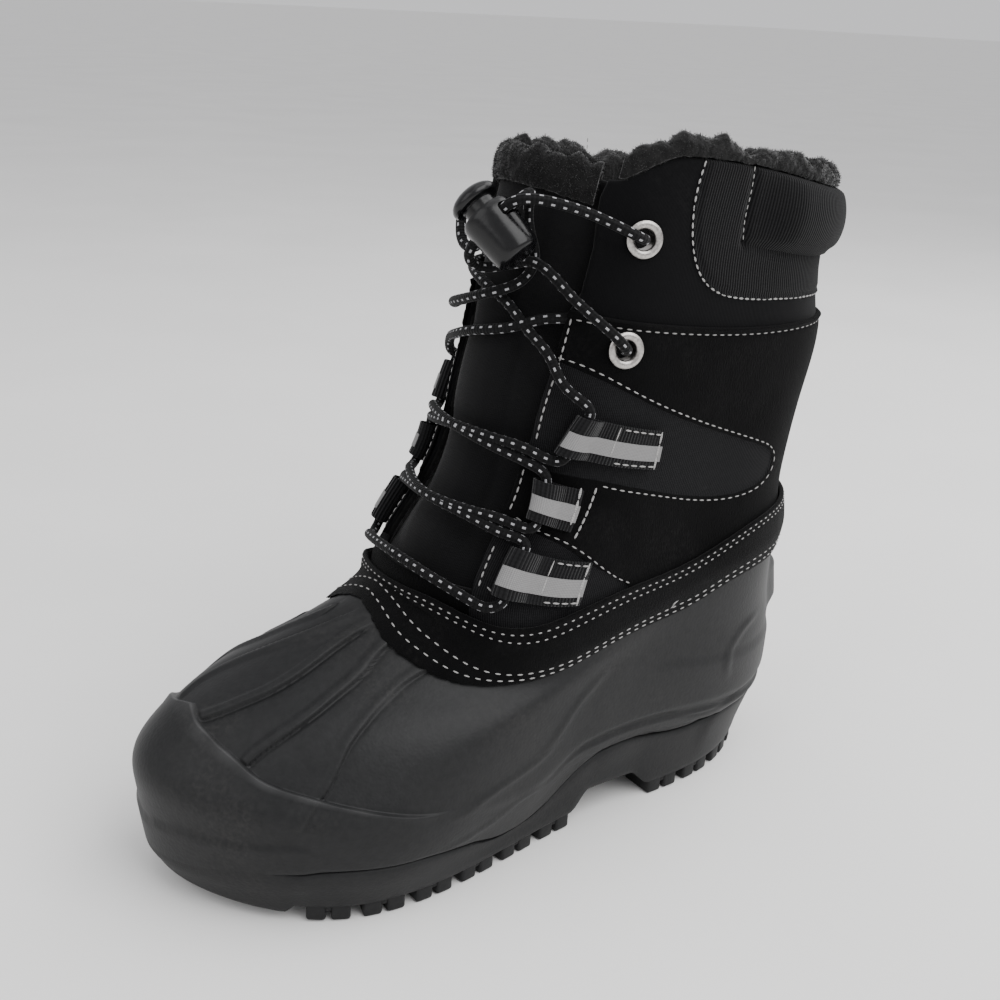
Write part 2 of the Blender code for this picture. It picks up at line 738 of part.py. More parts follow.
def make_eyelets(finish):
    profile = ((3.2, -3.6), (3.9, -3.6), (3.9, 0.35), (5.7, 0.35), (5.9, 0.8), (5.2, 1.35), (4.2, 1.4),
               (3.3, 0.9))
    for name, (s, level) in zip(("upper", "lower"), EYELETS):
        for side, mirrored in SIDES:
            frame = on_leg(1.0 - s if mirrored else s, level)
            stand(make_object("eyelet_%s_%s" % (name, side), turned(profile, 16, frame), finish), frame)


def fold_path(length):
    """The webbing's middle line from its lower end round the lace and back, as (distance, height) in mm."""
    nose = LOOP["bore"] + LOOP["thick"] / 2
    low = LOOP["lift"] + LOOP["thick"] / 2
    high = low + LOOP["thick"] + GAP
    centre = LOOP["lift"] + LOOP["thick"] + LOOP["bore"]
    flat = list(np.arange(-length, -10.0, 6.0))
    path = [(place, low) for place in [*flat, -8.4, -4.0, -1.5]]
    for step in range(7):
        angle = math.radians(-90 + 30.0 * step)
        path.append((nose * math.cos(angle), centre + nose * math.sin(angle)))
    path += [(-2.6, centre + 1.9), (-4.4, centre + 0.3), (-6.4, high + 0.4), (-8.4, high)]
    return path + [(place, high) for place in reversed(flat)]


def make_loop(loop, side, mirrored, finish):
    length = abs(loop.front_s - loop.rear_s) * ARC_PER_S
    flat = fold_path(length)
    sections = []
    for i, (run, rise) in enumerate(flat):
        before, after = flat[max(i - 1, 0)], flat[min(i + 1, len(flat) - 1)]
        size = math.hypot(after[0] - before[0], after[1] - before[1])
        lean_out = (after[0] - before[0]) / size, (after[1] - before[1]) / size
        corners = []
        for across, face in ((-6.0, -1), (6.0, -1), (6.0, 1), (-6.0, 1)):
            place = run - lean_out[1] * face * LOOP["thick"] / 2
            height = rise + lean_out[0] * face * LOOP["thick"] / 2
            corners.append(on_loop(loop, place, height, across, mirrored))
        sections.append(corners)
    return make_object("loop_%s_%s" % (loop.name, side), swept(sections, False), finish)


def on_loop(loop, place, height, across, mirrored):
    """A point by distance ahead of the fold's middle, height over the quarter and distance across."""
    share = 1.0 + place / (abs(loop.front_s - loop.rear_s) * ARC_PER_S)
    s = loop.rear_s + share * (loop.front_s - loop.rear_s)
    s -= loop.lean * across / 6.0 * max(share, 0.0)
    level = loop.rear_level + share * (loop.front_level - loop.rear_level) + across
    return raised(1.0 - s if mirrored else s, level, QUARTER_STEP + height)


def make_loops(finish):
    for loop in LOOPS:
        for side, mirrored in SIDES:
            make_loop(loop, side, mirrored, finish)


def make_pull_tab(finish):
    levels = (200.6, 206, 215, 221, 225)
    centre, half = 0.992, 0.022

    def outline(s):
        outer = [raised(s, level, shaft_relief(0.0, level) + 2.6) for level in levels]
        inner = [raised(s, level, shaft_relief(0.0, level) + 0.55) for level in levels]
        return outer + inner[::-1]

    columns = np.linspace(centre - half, centre + half, 5)
    return make_object("pull_tab", swept([outline(s) for s in columns], False), finish)


# ---------------------------------------------------------------- suede band
def covered(s, level):
    """How far the shell or the shaft stands proud under the band."""
    if level < SHELL_TOP:
        return max(shell_relief(s, level), QUARTER_STEP * smooth(level, 80, 87))
    return shaft_relief(s, level)


def make_band(finish):
    levels = (80, 84, 89.6, 90.4, 96, 100)

    def outer(s):
        return [raised(s, level, covered(s, level) + 0.6 + SUEDE) for level in levels]

    def inner(s):
        return [raised(s, level, covered(s, level) + 0.6) for level in levels]

    return make_object("suede_band", swept(wall_sections(shell_columns(), outer, inner), True), finish)


# ---------------------------------------------------------------- cord lock
def lock_frame():
    """The lock's directions: along it to the button, through its cross hole, and back to the tongue."""
    along = np.array(LOCK_AXIS) / np.linalg.norm(LOCK_AXIS)
    hint = np.array(LOCK_HOLE_HINT)
    across = hint - np.dot(hint, along) * along
    across = across / np.linalg.norm(across)
    return along, across, np.cross(along, across)


def on_lock(rise, across, back):
    """A point by distance from the foot along the lock, along its cross hole and back from its middle."""
    axes = lock_frame()
    return np.array(LOCK_FOOT) + rise * axes[0] + across * axes[1] + back * axes[2]


def hole_cutter(low, high):
    """The slot that lets both strands through, between two distances along the lock."""
    bm = bmesh.new()
    side = STRAND + LACE_DIAMETER / 2 + 0.28
    ends = []
    for across in (-15.0, 15.0):
        corners = ((low, -side), (high, -side), (high, side), (low, side))
        ends.append([on_lock(rise, across, back) for rise, back in corners])
    prism(bm, *ends)
    return helper(make_object("cross hole", bm, None))


def make_lock(finish, dark):
    along = lock_frame()[0]
    frame = place_along(LOCK_FOOT, along)
    half = LACE_DIAMETER / 2 + 0.35
    foot, rim, length, bore = LOCK["foot"], LOCK["rim"], LOCK["length"], LOCK["bore"]
    body = ((0, 0), (foot - 0.8, 0), (foot, 0.9), (rim - 0.2, length * 0.62), (rim, length - 2.2),
            (rim - 0.7, length), (bore, length), (bore, LOCK["floor"]), (0, LOCK["floor"]))
    barrel = make_object("lock_barrel", turned(body, 24, frame), finish)
    apply_boolean(barrel, hole_cutter(LOCK["hole"] - half, LOCK["hole"] + half), "DIFFERENCE")
    stem, button = LOCK["stem"], LOCK["button"]
    cap = ((0, 7.5), (stem, 7.5), (stem, 20.9), (button - 0.4, 21.3), (button, 22.3), (button - 1.2, 24.5),
           (button - 4.0, 25.8), (0, 26.1))
    plunger = make_object("lock_button", turned(cap, 24, frame), dark)
    cutter = hole_cutter(LOCK["hole"] - half, LOCK["hole"] + half + LOCK["travel"])
    apply_boolean(plunger, cutter, "DIFFERENCE")
    centre = bpy.data.objects.new("cord lock", None)
    bpy.context.scene.collection.objects.link(centre)
    centre.matrix_world = frame @ Matrix.Scale(1000.0, 4)
    for made in (barrel, plunger):
        stand(made, frame)
        made.parent = centre
        made.matrix_parent_inverse = centre.matrix_world.inverted()


# ---------------------------------------------------------------- lace
NOSE_HEIGHT = LOOP["lift"] + LOOP["thick"] + LOOP["bore"]

# Crossings as (s, level, height over the plain surface): the two strands tucked under the flaps at the top,
# the two crossings from the outer side, and half of the bar across the bottom.
OUTER_TOP = ((0.574, 186.0, 0.6), (0.540, 185.0, 0.8), (0.500, 182.6, 1.0), (0.466, 179.0, 1.0),
             (0.440, 173.6, 1.3), (0.412, 168.0, 3.4), (0.386, 160.0, 4.7))
INNER_TOP = ((0.426, 177.4, 0.9), (0.450, 174.2, 1.3), (0.500, 170.0, 1.3), (0.560, 165.6, 1.8),
             (0.592, 162.6, 3.6), (0.618, 158.0, 4.7))
UPPER_CROSSING = ((0.412, 142.2, 4.4), (0.440, 142.8, 2.9), (0.500, 142.4, 1.8), (0.560, 140.0, 2.9),
                  (0.592, 138.2, 4.4))
LOWER_CROSSING = ((0.414, 122.2, 4.4), (0.440, 122.4, 3.1), (0.500, 122.0, 2.2), (0.560, 120.8, 3.1),
                  (0.590, 119.4, 4.4))
BAR = ((0.3985, 102.9, 4.6), (0.415, 103.6, 4.1), (0.450, 106.2, 3.1), (0.500, 108.0, 2.7))


def through_loop(loop, mirrored, downwards):
    """The lace's straight run through the fold of one loop."""
    ends = (6.6, 2.2, -2.2, -6.6) if downwards else (-6.6, -2.2, 2.2, 6.6)
    return [on_loop(loop, 0.0, NOSE_HEIGHT, across, mirrored) for across in ends]


def laid(rows, mirrored):
    return [raised(1.0 - s if mirrored else s, level, height) for s, level, height in rows]


def lace_half(mirrored):
    """One half of the crossed lace, from its tucked end to the middle of the bottom bar."""
    upper, middle, lower = LOOPS
    route = laid(INNER_TOP, False) if mirrored else laid(OUTER_TOP, False)
    route += through_loop(upper, mirrored, True)
    route += laid(UPPER_CROSSING, mirrored)
    route += through_loop(middle, not mirrored, True)
    route += laid(tuple((1.0 - s, level, height) for s, level, height in LOWER_CROSSING), mirrored)
    route += through_loop(lower, mirrored, True)
    return route + laid(BAR, mirrored)


def tube(points, radius, sides, finish, name):
    """A closed round tube as a mesh, its rings kept from twisting."""
    points = [np.array(point) for point in points]
    rings = []
    side = np.array((0.0, 0.0, 1.0))
    for i, point in enumerate(points):
        way = points[min(i + 1, len(points) - 1)] - points[max(i - 1, 0)]
        way = way / np.linalg.norm(way)
        side = side - np.dot(side, way) * way
        side = side / np.linalg.norm(side)
        other = np.cross(way, side)
        angles = [2 * math.pi * k / sides for k in range(sides)]
        rings.append([point + radius * (math.cos(a) * side + math.sin(a) * other) for a in angles])
    bm = bmesh.new()
    loops = [[bm.verts.new(to_world(point)) for point in ring] for ring in rings]
    for first, second in zip(loops, loops[1:]):
        for i in range(sides):
            bm.faces.new((first[i], first[(i + 1) % sides], second[(i + 1) % sides], second[i]))
    bm.faces.new(list(reversed(loops[0])))
    bm.faces.new(loops[-1])
    return make_object(name, bm, finish)


def make_crossings(finish):
    """The laced crossings and the bottom bar, joined where the strands meet."""
    radius = LACE_DIAMETER / 2
    outer = smooth_route(lace_half(False), 4.4)
    inner = smooth_route(lace_half(True), 4.4)
    outer.append(outer[-1] + (outer[-1] - outer[-2]) * 0.35)
    crossings = tube(outer, radius, 8, finish, "lace_crossings")
    return apply_boolean(crossings, tube(inner, radius - 0.05, 8, finish, "inner half"), "UNION")


def eyelet_exit(index, mirrored, towards, lift):
    """Out of an eyelet and bending the way the strand goes."""
    s, level = EYELETS[index]
    s = 1.0 - s if mirrored else s
    out = normal(s, level)
    base = raised(s, level, shaft_relief(s, level))
    way = np.array(towards) - base
    way = way - np.dot(way, out) * out
    way = way / np.linalg.norm(way)
    return [base - 1.5 * out, base + 1.2 * out + 0.2 * way, base + lift * 0.72 * out + 1.9 * way,
            base + lift * out + 5.4 * way]


def outer_end():
    """The outer strand: lower eyelet, behind the lock, back through its cross hole, upper eyelet."""
    hole = LOCK["hole"]
    behind = [on_lock(-16.0, -1.6, 11.8), on_lock(-8.0, -1.4, 10.6), on_lock(-1.4, -3.0, 9.8),
              on_lock(2.8, -8.4, 10.0), on_lock(5.8, -12.8, 8.6), on_lock(8.4, -15.4, 5.2),
              on_lock(10.8, -15.0, 1.4), on_lock(12.4, -12.0, -1.5)]
    inside = [on_lock(hole, across, -STRAND) for across in (-8.6, -3.0, 3.0, 8.6)]
    away = [on_lock(11.6, 12.4, -1.9), on_lock(8.4, 15.8, 0.6), on_lock(2.6, 18.8, 6.0),
            on_lock(-4.6, 20.8, 13.4)]
    first = eyelet_exit(1, False, behind[0], 5.6)
    last = eyelet_exit(0, False, away[-1], 5.6)
    return first + behind + inside + away + last[::-1]


def inner_end():
    """The inner strand: lower eyelet, across the tongue, round the lock and to the upper eyelet."""
    hole = LOCK["hole"]
    across = [raised(0.600, 172.6, 5.2), raised(0.560, 174.4, 4.8), raised(0.510, 177.8, 5.3),
              on_lock(0.6, -18.3, 7.2)]
    behind = [on_lock(-2.0, -12.6, 10.2), on_lock(-1.4, -7.6, 13.6), on_lock(1.4, -3.2, 14.2),
              on_lock(5.2, -0.2, 13.4), on_lock(9.2, 3.0, 12.6), on_lock(12.2, 7.0, 11.6),
              on_lock(13.4, 11.0, 9.4), on_lock(13.2, 12.2, 5.8), on_lock(13.0, 10.4, 3.0)]
    inside = [on_lock(hole, place, STRAND) for place in (7.4, 2.6, -3.0, -9.4)]
    away = [on_lock(14.9, -13.0, 3.1), on_lock(18.4, -15.2, 5.4), raised(0.524, 203.6, 9.6),
            raised(0.560, 205.0, 7.4), raised(0.600, 206.0, 6.4)]
    first = eyelet_exit(1, True, across[0], 5.2)
    last = eyelet_exit(0, True, away[-1], 5.6)
    return first + across + behind + inside + away + last[::-1]


def make_lace(finish):
    make_crossings(finish)
    cord("lace_end_lateral", outer_end(), LACE_DIAMETER, finish, 4.6)
    cord("lace_end_medial", inner_end(), LACE_DIAMETER, finish, 4.6)


# ---------------------------------------------------------------- build
def clear_scene():
    for made in list(bpy.data.objects):
        bpy.data.objects.remove(made, do_unlink=True)


def build():
    clear_scene()
    rubber = material("shell rubber", (0.035, 0.036, 0.038), 0.55)
    tread = material("sole rubber", (0.03, 0.03, 0.032), 0.65)
    suede = material("suede", (0.012, 0.012, 0.013), 0.95)
    fabric = material("twill", (0.02, 0.021, 0.023), 0.85)
    foam = material("insole felt", (0.05, 0.05, 0.05), 0.95)
    padding = material("tongue fabric", (0.02, 0.02, 0.022), 0.9)
    fur = material("black fur", (0.015, 0.015, 0.016), 1.0)
    metal = material("gunmetal", (0.35, 0.35, 0.36), 0.35, 1.0)
    plastic = material("lock plastic", (0.03, 0.03, 0.032), 0.4)
    lace = material("elastic lace", (0.03, 0.03, 0.031), 0.85)
    webbing = material("webbing", (0.025, 0.025, 0.027), 0.8)
    make_outsole(tread)
    make_shell(rubber)
    make_insole(foam)
    make_shaft(fabric)
    make_band(suede)
    make_tongue(padding)
    make_collar_fur(fur)
    make_tongue_fur(fur)
    make_eyelets(metal)
    make_loops(webbing)
    make_pull_tab(webbing)
    make_lock(plastic, plastic)
    make_lace(lace)
    boot = bpy.data.objects.new("boot", None)
    bpy.context.scene.collection.objects.link(boot)
    for made in bpy.data.objects:
        if made.parent is None and made != boot:
            made.parent = boot


build()
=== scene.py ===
import math

import bmesh
import bpy
import numpy as np
from mathutils import Matrix, Vector


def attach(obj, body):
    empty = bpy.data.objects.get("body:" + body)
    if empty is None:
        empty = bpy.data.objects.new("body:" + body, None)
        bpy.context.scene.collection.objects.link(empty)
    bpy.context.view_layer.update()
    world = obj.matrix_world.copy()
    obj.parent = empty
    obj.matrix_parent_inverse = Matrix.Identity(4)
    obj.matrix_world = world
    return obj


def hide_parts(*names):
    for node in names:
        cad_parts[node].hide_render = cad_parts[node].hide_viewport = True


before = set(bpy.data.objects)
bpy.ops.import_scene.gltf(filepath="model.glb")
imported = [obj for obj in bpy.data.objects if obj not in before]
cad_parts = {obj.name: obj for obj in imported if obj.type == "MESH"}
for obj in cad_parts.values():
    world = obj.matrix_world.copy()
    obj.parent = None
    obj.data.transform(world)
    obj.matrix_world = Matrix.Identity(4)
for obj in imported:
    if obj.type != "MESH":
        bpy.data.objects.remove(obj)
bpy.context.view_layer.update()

print("winter boot: frame loaded")

# the boot's own surface, in mm: s runs from 0 to 1, from the heel round the outer side, and level is about
# the height
bootForm = dict(
    middleX=125.0, middleY=0.23,
    stations=(0.0, 0.15, 0.42, 0.70, 0.90, 1.0),
    footCurve=((0.0, 0.4, 0.7, 0.9, 1.0), (0.0, 2.5, 1.0, -5.0, -9.0)),
    archMiddle=141.0, archReach=26.0, archDepth=6.0,
    # level, back, front, half widths at the four stations, heights from the back to the front, skew
    rings=(
        (0, 10, 250, 32, 34, 44.5, 36.5, 6, 6, 6, 6, 7, 8, 1.0),
        (16, 4.5, 253, 34, 36, 48, 38, 24, 25, 28, 18, 27, 27, 1.0),
        (23, 2, 254, 36, 38, 49.5, 38, 31, 31, 35, 25, 33, 34, 1.0),
        (36, 0.5, 254.5, 37, 39, 49.5, 37, 42, 42, 43, 36, 41, 43, 1.0),
        (50, 1, 248, 37, 39, 48, 33.5, 54, 54, 53, 47, 51, 53, 1.0),
        (60, 2, 236, 36, 39, 46.5, 32, 63, 62, 60, 55, 60, 62, 0.9),
        (70, 3, 214, 35, 39, 45, 32, 71, 70, 68, 61, 67, 72, 0.7),
        (80, 4, 182, 34, 39, 43, 35, 85, 84, 78, 68, 72, 87, 0.4),
        (100, 6, 171, 33, 38, 41, 33, 105, 104, 96, 88, 90, 95, 0.2),
        (125, 7, 153, 33, 38, 38.5, 29, 123, 122, 120, 118, 121, 124, 0.0),
        (152, 3, 145, 33.5, 39.5, 38, 27, 147, 147, 149, 150, 152, 154, 0.0),
        (180, 0, 137, 34.5, 41.5, 39, 27, 171, 173, 176, 181, 184, 186, 0.0),
        (200, 4, 134, 34.5, 41.5, 39.5, 27, 190, 191, 196, 202, 205, 207, 0.0),
        (230, 0, 128, 35, 42, 40, 27, 219, 220, 227, 232, 232, 232, 0.0)),
    throat=((104, 117, 124, 138, 145, 164, 180, 186, 200, 216, 223, 230),
            (0.084, 0.080, 0.078, 0.080, 0.087, 0.093, 0.094, 0.104, 0.110, 0.106, 0.111, 0.140)),
    collarLevel=230.0, girth=450.0)


def ringCorners(row):
    level, back, front = row[:3]
    halves, heights, skew = row[3:7], row[7:13], row[13]
    shares = np.array(bootForm["stations"])
    x = back + shares * (front - back)
    middle = skew * np.interp(shares, *bootForm["footCurve"])
    half = np.array([0.0, *halves, 0.0])
    outer = np.stack([x, middle + half, heights], axis=1)
    inner = np.stack([x, middle - half, heights], axis=1)
    return np.concatenate([outer, inner[4:0:-1]])


def unit(rows):
    return rows / np.linalg.norm(rows, axis=-1, keepdims=True)


def arcsOf(points):
    # how far along a line of points each of them lies
    return np.concatenate([[0.0], np.cumsum(np.linalg.norm(np.diff(points, axis=0), axis=1))])


def alongLine(at, arcs, points):
    # the points at these distances along a line
    return np.stack([np.interp(at, arcs, column) for column in points.T], 1)


def cubicMix(first, second, firstBend, secondBend, share, scale=1.0):
    # a point of a cubic curve at a share of the way between two of its points
    rest = 1 - share
    return (rest * first + share * second
            + ((rest ** 3 - rest) * firstBend + (share ** 3 - share) * secondBend) * scale / 6)


def closedBends(points):
    count = len(points)
    matrix = 4 * np.eye(count) + np.roll(np.eye(count), 1, 0) + np.roll(np.eye(count), -1, 0)
    return np.linalg.solve(matrix, 6 * (np.roll(points, -1, 0) - 2 * points + np.roll(points, 1, 0)))


def openBends(places):
    # the matrix that turns values at these places into the bends of a natural cubic curve
    count = len(places)
    step = np.diff(places)
    matrix = np.eye(count)
    ends = np.zeros((count, count))
    for i in range(1, count - 1):
        matrix[i, i - 1:i + 2] = step[i - 1], 2 * (step[i - 1] + step[i]), step[i]
        ends[i, i - 1:i + 2] = 6 / step[i - 1], -6 / step[i] - 6 / step[i - 1], 6 / step[i]
    return np.linalg.solve(matrix, ends)


def throughPlaces(places, values, fine):
    # values at the fine places, on a natural cubic curve through the given ones
    bends = openBends(places) @ values
    t = np.clip(np.searchsorted(places, fine) - 1, 0, len(places) - 2)
    step = places[t + 1] - places[t]
    share = (fine - places[t]) / step
    if values.ndim > 1:
        step, share = step[:, None], share[:, None]
    return cubicMix(values[t], values[t + 1], bends[t], bends[t + 1], share, step ** 2)


bootCorners = np.array([ringCorners(row) for row in bootForm["rings"]]).transpose(1, 0, 2)
bootBends = np.stack([closedBends(bootCorners[:, k]) for k in range(len(bootForm["rings"]))], axis=1)
bootLevels = np.array([row[0] for row in bootForm["rings"]], float)
levelBends = openBends(bootLevels)


def soft(value, start, end):
    share = np.clip((np.asarray(value, float) - start) / (end - start), 0, 1)
    return share * share * (3 - 2 * share)


def bell(gap, width):
    # 1 where the gap is 0, falling away smoothly on both sides
    return np.exp(-(gap / width) ** 2)


def fromToe(s):
    return np.abs(np.mod(s, 1.0) - 0.5)


def skin(s, level):
    # points of the plain surface, with the arch's dip in them
    s, level = np.broadcast_arrays(np.asarray(s, float), np.asarray(level, float))
    shape = s.shape
    s, level = s.ravel(), level.ravel()
    count = len(bootCorners)
    place = np.mod(s, 1.0) * count
    i = place.astype(int) % count
    j = (i + 1) % count
    column = cubicMix(bootCorners[i], bootCorners[j], bootBends[i], bootBends[j],
                      (place - np.floor(place))[:, None, None])
    bend = np.einsum("lm,nmx->nlx", levelBends, column)
    t = np.clip(np.searchsorted(bootLevels, level) - 1, 0, len(bootLevels) - 2)
    row = np.arange(len(s))
    step = bootLevels[t + 1] - bootLevels[t]
    point = cubicMix(column[row, t], column[row, t + 1], bend[row, t], bend[row, t + 1],
                     ((level - bootLevels[t]) / step)[:, None], (step ** 2)[:, None])
    share = np.abs(point[:, 0] - bootForm["archMiddle"]) / bootForm["archReach"]
    dip = bootForm["archDepth"] * (1 - soft(share, 0, 1))
    point[:, 2] -= dip * soft(level, 4, 14) * (1 - soft(level, 24, 48))
    return point.reshape(shape + (3,))


def outward(s, level):
    # the way out of the boot, square to its surface
    s, level = np.asarray(s, float), np.asarray(level, float)
    along = skin(s + 0.004, level) - skin(s - 0.004, level)
    up = skin(s, level + 0.8) - skin(s, level - 0.8)
    return unit(np.cross(up, along))


def raised(s, level, height):
    return skin(s, level) + np.asarray(height, float)[..., None] * outward(s, level)


def toWorld(points):
    points = np.array(points, float)
    return (points - np.array((bootForm["middleX"], bootForm["middleY"], 0.0))) / 1000


def throatHalf(level):
    # half the front opening's width, in s
    return np.interp(level, *bootForm["throat"])


def smoothRow(rows, count):
    # evenly spaced points of a smooth curve through rows of (s, level)
    rows = np.array(rows, float)
    places = arcsOf(rows[:, :2] * np.array((bootForm["girth"], 1.0)))
    return throughPlaces(places, rows, np.linspace(0, places[-1], count))


def distanceTo(points, line):
    # distance of each point from a line of samples, and how far along the line its nearest sample is
    best = np.full(len(points), 1e9)
    where = np.zeros(len(points))
    batch = 20000
    for start in range(0, len(points), batch):
        part = points[start:start + batch]
        gap = np.linalg.norm(part[:, None] - line[None], axis=2)
        nearest = gap.argmin(axis=1)
        best[start:start + batch] = gap[np.arange(len(part)), nearest]
        where[start:start + batch] = nearest / (len(line) - 1)
    return best, where


def insideOutline(s, level, outline):
    # which places of the surface lie inside a closed outline of (s, level)
    inside = np.zeros(s.shape, bool)
    ends = np.roll(outline, -1, axis=0)
    for (s0, l0), (s1, l1) in zip(outline, ends):
        crosses = (l0 > level) != (l1 > level)
        if abs(l1 - l0) > 1e-9:
            at = s0 + (level - l0) * (s1 - s0) / (l1 - l0)
            inside ^= crosses & (s < at)
    return inside


def wrinkle(s, level, crease):
    # a soft ridge or trough, given by its route, height (negative for a trough) and width
    route = smoothRow(crease["route"], 60)
    gap, where = distanceTo(skin(s, level), skin(route[:, 0], route[:, 1]))
    ends = np.minimum(soft(where, 0, 0.25), 1 - soft(where, 0.75, 1))
    return crease["height"] * ends * bell(gap, crease["width"])


# making pieces
def pick(piece):
    bpy.ops.object.select_all(action="DESELECT")
    piece.select_set(True)
    bpy.context.view_layer.objects.active = piece


def applyModifier(piece, kind, **settings):
    pick(piece)
    modifier = piece.modifiers.new(kind.title(), kind)
    for name, value in settings.items():
        setattr(modifier, name, value)
    bpy.ops.object.modifier_apply(modifier=modifier.name)


def finish(piece, *made, body="boot", slot=None, smoothAngle=40):
    pick(piece)
    piece.data.materials.clear()
    for material in made:
        piece.data.materials.append(material)
    bpy.ops.object.shade_smooth_by_angle(angle=math.radians(smoothAngle))
    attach(piece, body)
    return piece


def addGrid(name, across, along):
    # a flat grid whose corners run from 0 to 1 both ways, with their places, columns and rows
    bpy.ops.object.select_all(action="DESELECT")
    bpy.ops.mesh.primitive_grid_add(x_subdivisions=across, y_subdivisions=along, size=1, calc_uvs=True,
                                    location=(0.5, 0.5, 0))
    piece = bpy.context.object
    bpy.ops.object.transform_apply(location=True, rotation=True, scale=True)
    piece.name = name
    piece.data.name = name
    flat = cornersOf(piece)
    return piece, flat, np.rint(flat[:, 0] * across).astype(int), np.rint(flat[:, 1] * along).astype(int)


def addMesh(name, corners, edges, faces):
    mesh = bpy.data.meshes.new(name)
    mesh.from_pydata(corners, edges, faces)
    piece = bpy.data.objects.new(name, mesh)
    bpy.context.scene.collection.objects.link(piece)
    return piece


def cornersOf(piece):
    places = np.empty(len(piece.data.vertices) * 3)
    piece.data.vertices.foreach_get("co", places)
    return places.reshape(-1, 3)


def setCorners(piece, points):
    piece.data.vertices.foreach_set("co", np.ascontiguousarray(points, float).ravel())
    piece.data.update()


def setUv(piece, uv):
    loops = np.empty(len(piece.data.loops), int)
    piece.data.loops.foreach_get("vertex_index", loops)
    layer = piece.data.uv_layers[0]
    layer.data.foreach_set("uv", np.ascontiguousarray(uv[loops], float).ravel())


def setMask(piece, name, values):
    mask = piece.data.attributes.new(name, "FLOAT", "POINT")
    mask.data.foreach_set("value", np.ascontiguousarray(values, np.float32))


def closeUp(piece, openEnds=False):
    # joins the seams and turns the faces outwards, then fills the two open ends if there are any
    pick(piece)
    bpy.ops.object.mode_set(mode="EDIT")
    bpy.ops.mesh.select_all(action="SELECT")
    bpy.ops.mesh.remove_doubles(threshold=0.00002)
    bpy.ops.mesh.normals_make_consistent(inside=False)
    bpy.ops.object.mode_set(mode="OBJECT")
    if openEnds:
        bpy.ops.object.mode_set(mode="EDIT")
        bpy.ops.mesh.select_all(action="SELECT")
        bpy.ops.mesh.fill_holes(sides=0)
        bpy.ops.mesh.select_all(action="SELECT")
        bpy.ops.mesh.normals_make_consistent(inside=False)
        bpy.ops.object.mode_set(mode="OBJECT")


def shapeGrid(piece, u, v, points, openEnds=False):
    # gives a grid its map in metres and its corners in mm
    setUv(piece, np.stack([u, v], axis=1))
    setCorners(piece, toWorld(points))
    closeUp(piece, openEnds)


def joined(pieces, name):
    bpy.ops.object.select_all(action="DESELECT")
    for piece in pieces:
        piece.select_set(True)
    bpy.context.view_layer.objects.active = pieces[0]
    if len(pieces) > 1:
        bpy.ops.object.join()
    pieces[0].name = name
    pieces[0].data.name = name
    return pieces[0]


# finishes
def put(tree, kind, **settings):
    # a node by its short kind: small names are its settings, names with a capital are its sockets
    made = tree.nodes.new("ShaderNode" + kind)
    for name, value in settings.items():
        if name[0].isupper():
            made.inputs[name.replace("_", " ")].default_value = value
        else:
            setattr(made, name, value)
    return made


def join(tree, start, end):
    tree.links.new(start, end)


def sums(tree, operation, first, second=None, third=None, clamp=False):
    made = put(tree, "Math", operation=operation, use_clamp=clamp)
    for place, value in enumerate((first, second, third)):
        if value is None:
            continue
        if isinstance(value, (int, float)):
            made.inputs[place].default_value = value
        else:
            tree.links.new(value, made.inputs[place])
    return made.outputs[0]


def cloud(tree, scale, detail, where=None, **settings):
    # noise in the object's own coordinates or at another place, its scale a number or a node's output
    made = put(tree, "TexNoise", Detail=detail, **settings)
    join(tree, put(tree, "TexCoord").outputs["Object"] if where is None else where, made.inputs["Vector"])
    if isinstance(scale, float):
        made.inputs["Scale"].default_value = scale
    else:
        join(tree, scale, made.inputs["Scale"])
    return made.outputs["Fac"]


def mapAxes(tree):
    axes = put(tree, "SeparateXYZ")
    join(tree, put(tree, "TexCoord").outputs["UV"], axes.inputs[0])
    return axes.outputs


def between(tree, value, low, high):
    # 0 to 1 as the value goes from low to high
    made = put(tree, "MapRange", From_Min=low, From_Max=high)
    join(tree, value, made.inputs["Value"])
    return made.outputs[0]


def blendColour(tree, share, first, second):
    made = put(tree, "Mix", data_type="RGBA")
    tree.links.new(share, made.inputs["Factor"])
    for place, value in ((6, first), (7, second)):
        if isinstance(value, tuple):
            made.inputs[place].default_value = (*value, 1.0)
        else:
            tree.links.new(value, made.inputs[place])
    return made.outputs[2]


def startGroup(name, inputs, outputs):
    group = bpy.data.node_groups.new(name, "ShaderNodeTree")
    for label, value in inputs:
        socket = group.interface.new_socket(name=label, in_out="INPUT", socket_type="NodeSocketFloat")
        socket.default_value = value
    for label in outputs:
        group.interface.new_socket(name=label, in_out="OUTPUT", socket_type="NodeSocketFloat")
    return group, group.nodes.new("NodeGroupInput").outputs, group.nodes.new("NodeGroupOutput").inputs


wavePerMetre = 6283.2  # a full turn for each millimetre of pitch, on a map in metres


def makePebbleGroup():
    # fine moulded grain: Height for a bump, Tone for small changes of shade
    group, given, result = startGroup("rubber pebble", (("Size", 0.9), ("Unevenness", 0.5)),
                                      ("Height", "Tone"))
    where = put(group, "TexCoord").outputs["Object"]
    scale = sums(group, "DIVIDE", 1000.0, given["Size"])
    cells = put(group, "TexVoronoi", feature="SMOOTH_F1", Smoothness=0.6)
    join(group, where, cells.inputs["Vector"])
    join(group, scale, cells.inputs["Scale"])
    shade = cloud(group, sums(group, "MULTIPLY", scale, 0.45), 4.0, where)
    uneven = sums(group, "MULTIPLY", shade, given["Unevenness"])
    join(group, sums(group, "ADD", cells.outputs["Distance"], uneven), result["Height"])
    join(group, shade, result["Tone"])
    return group


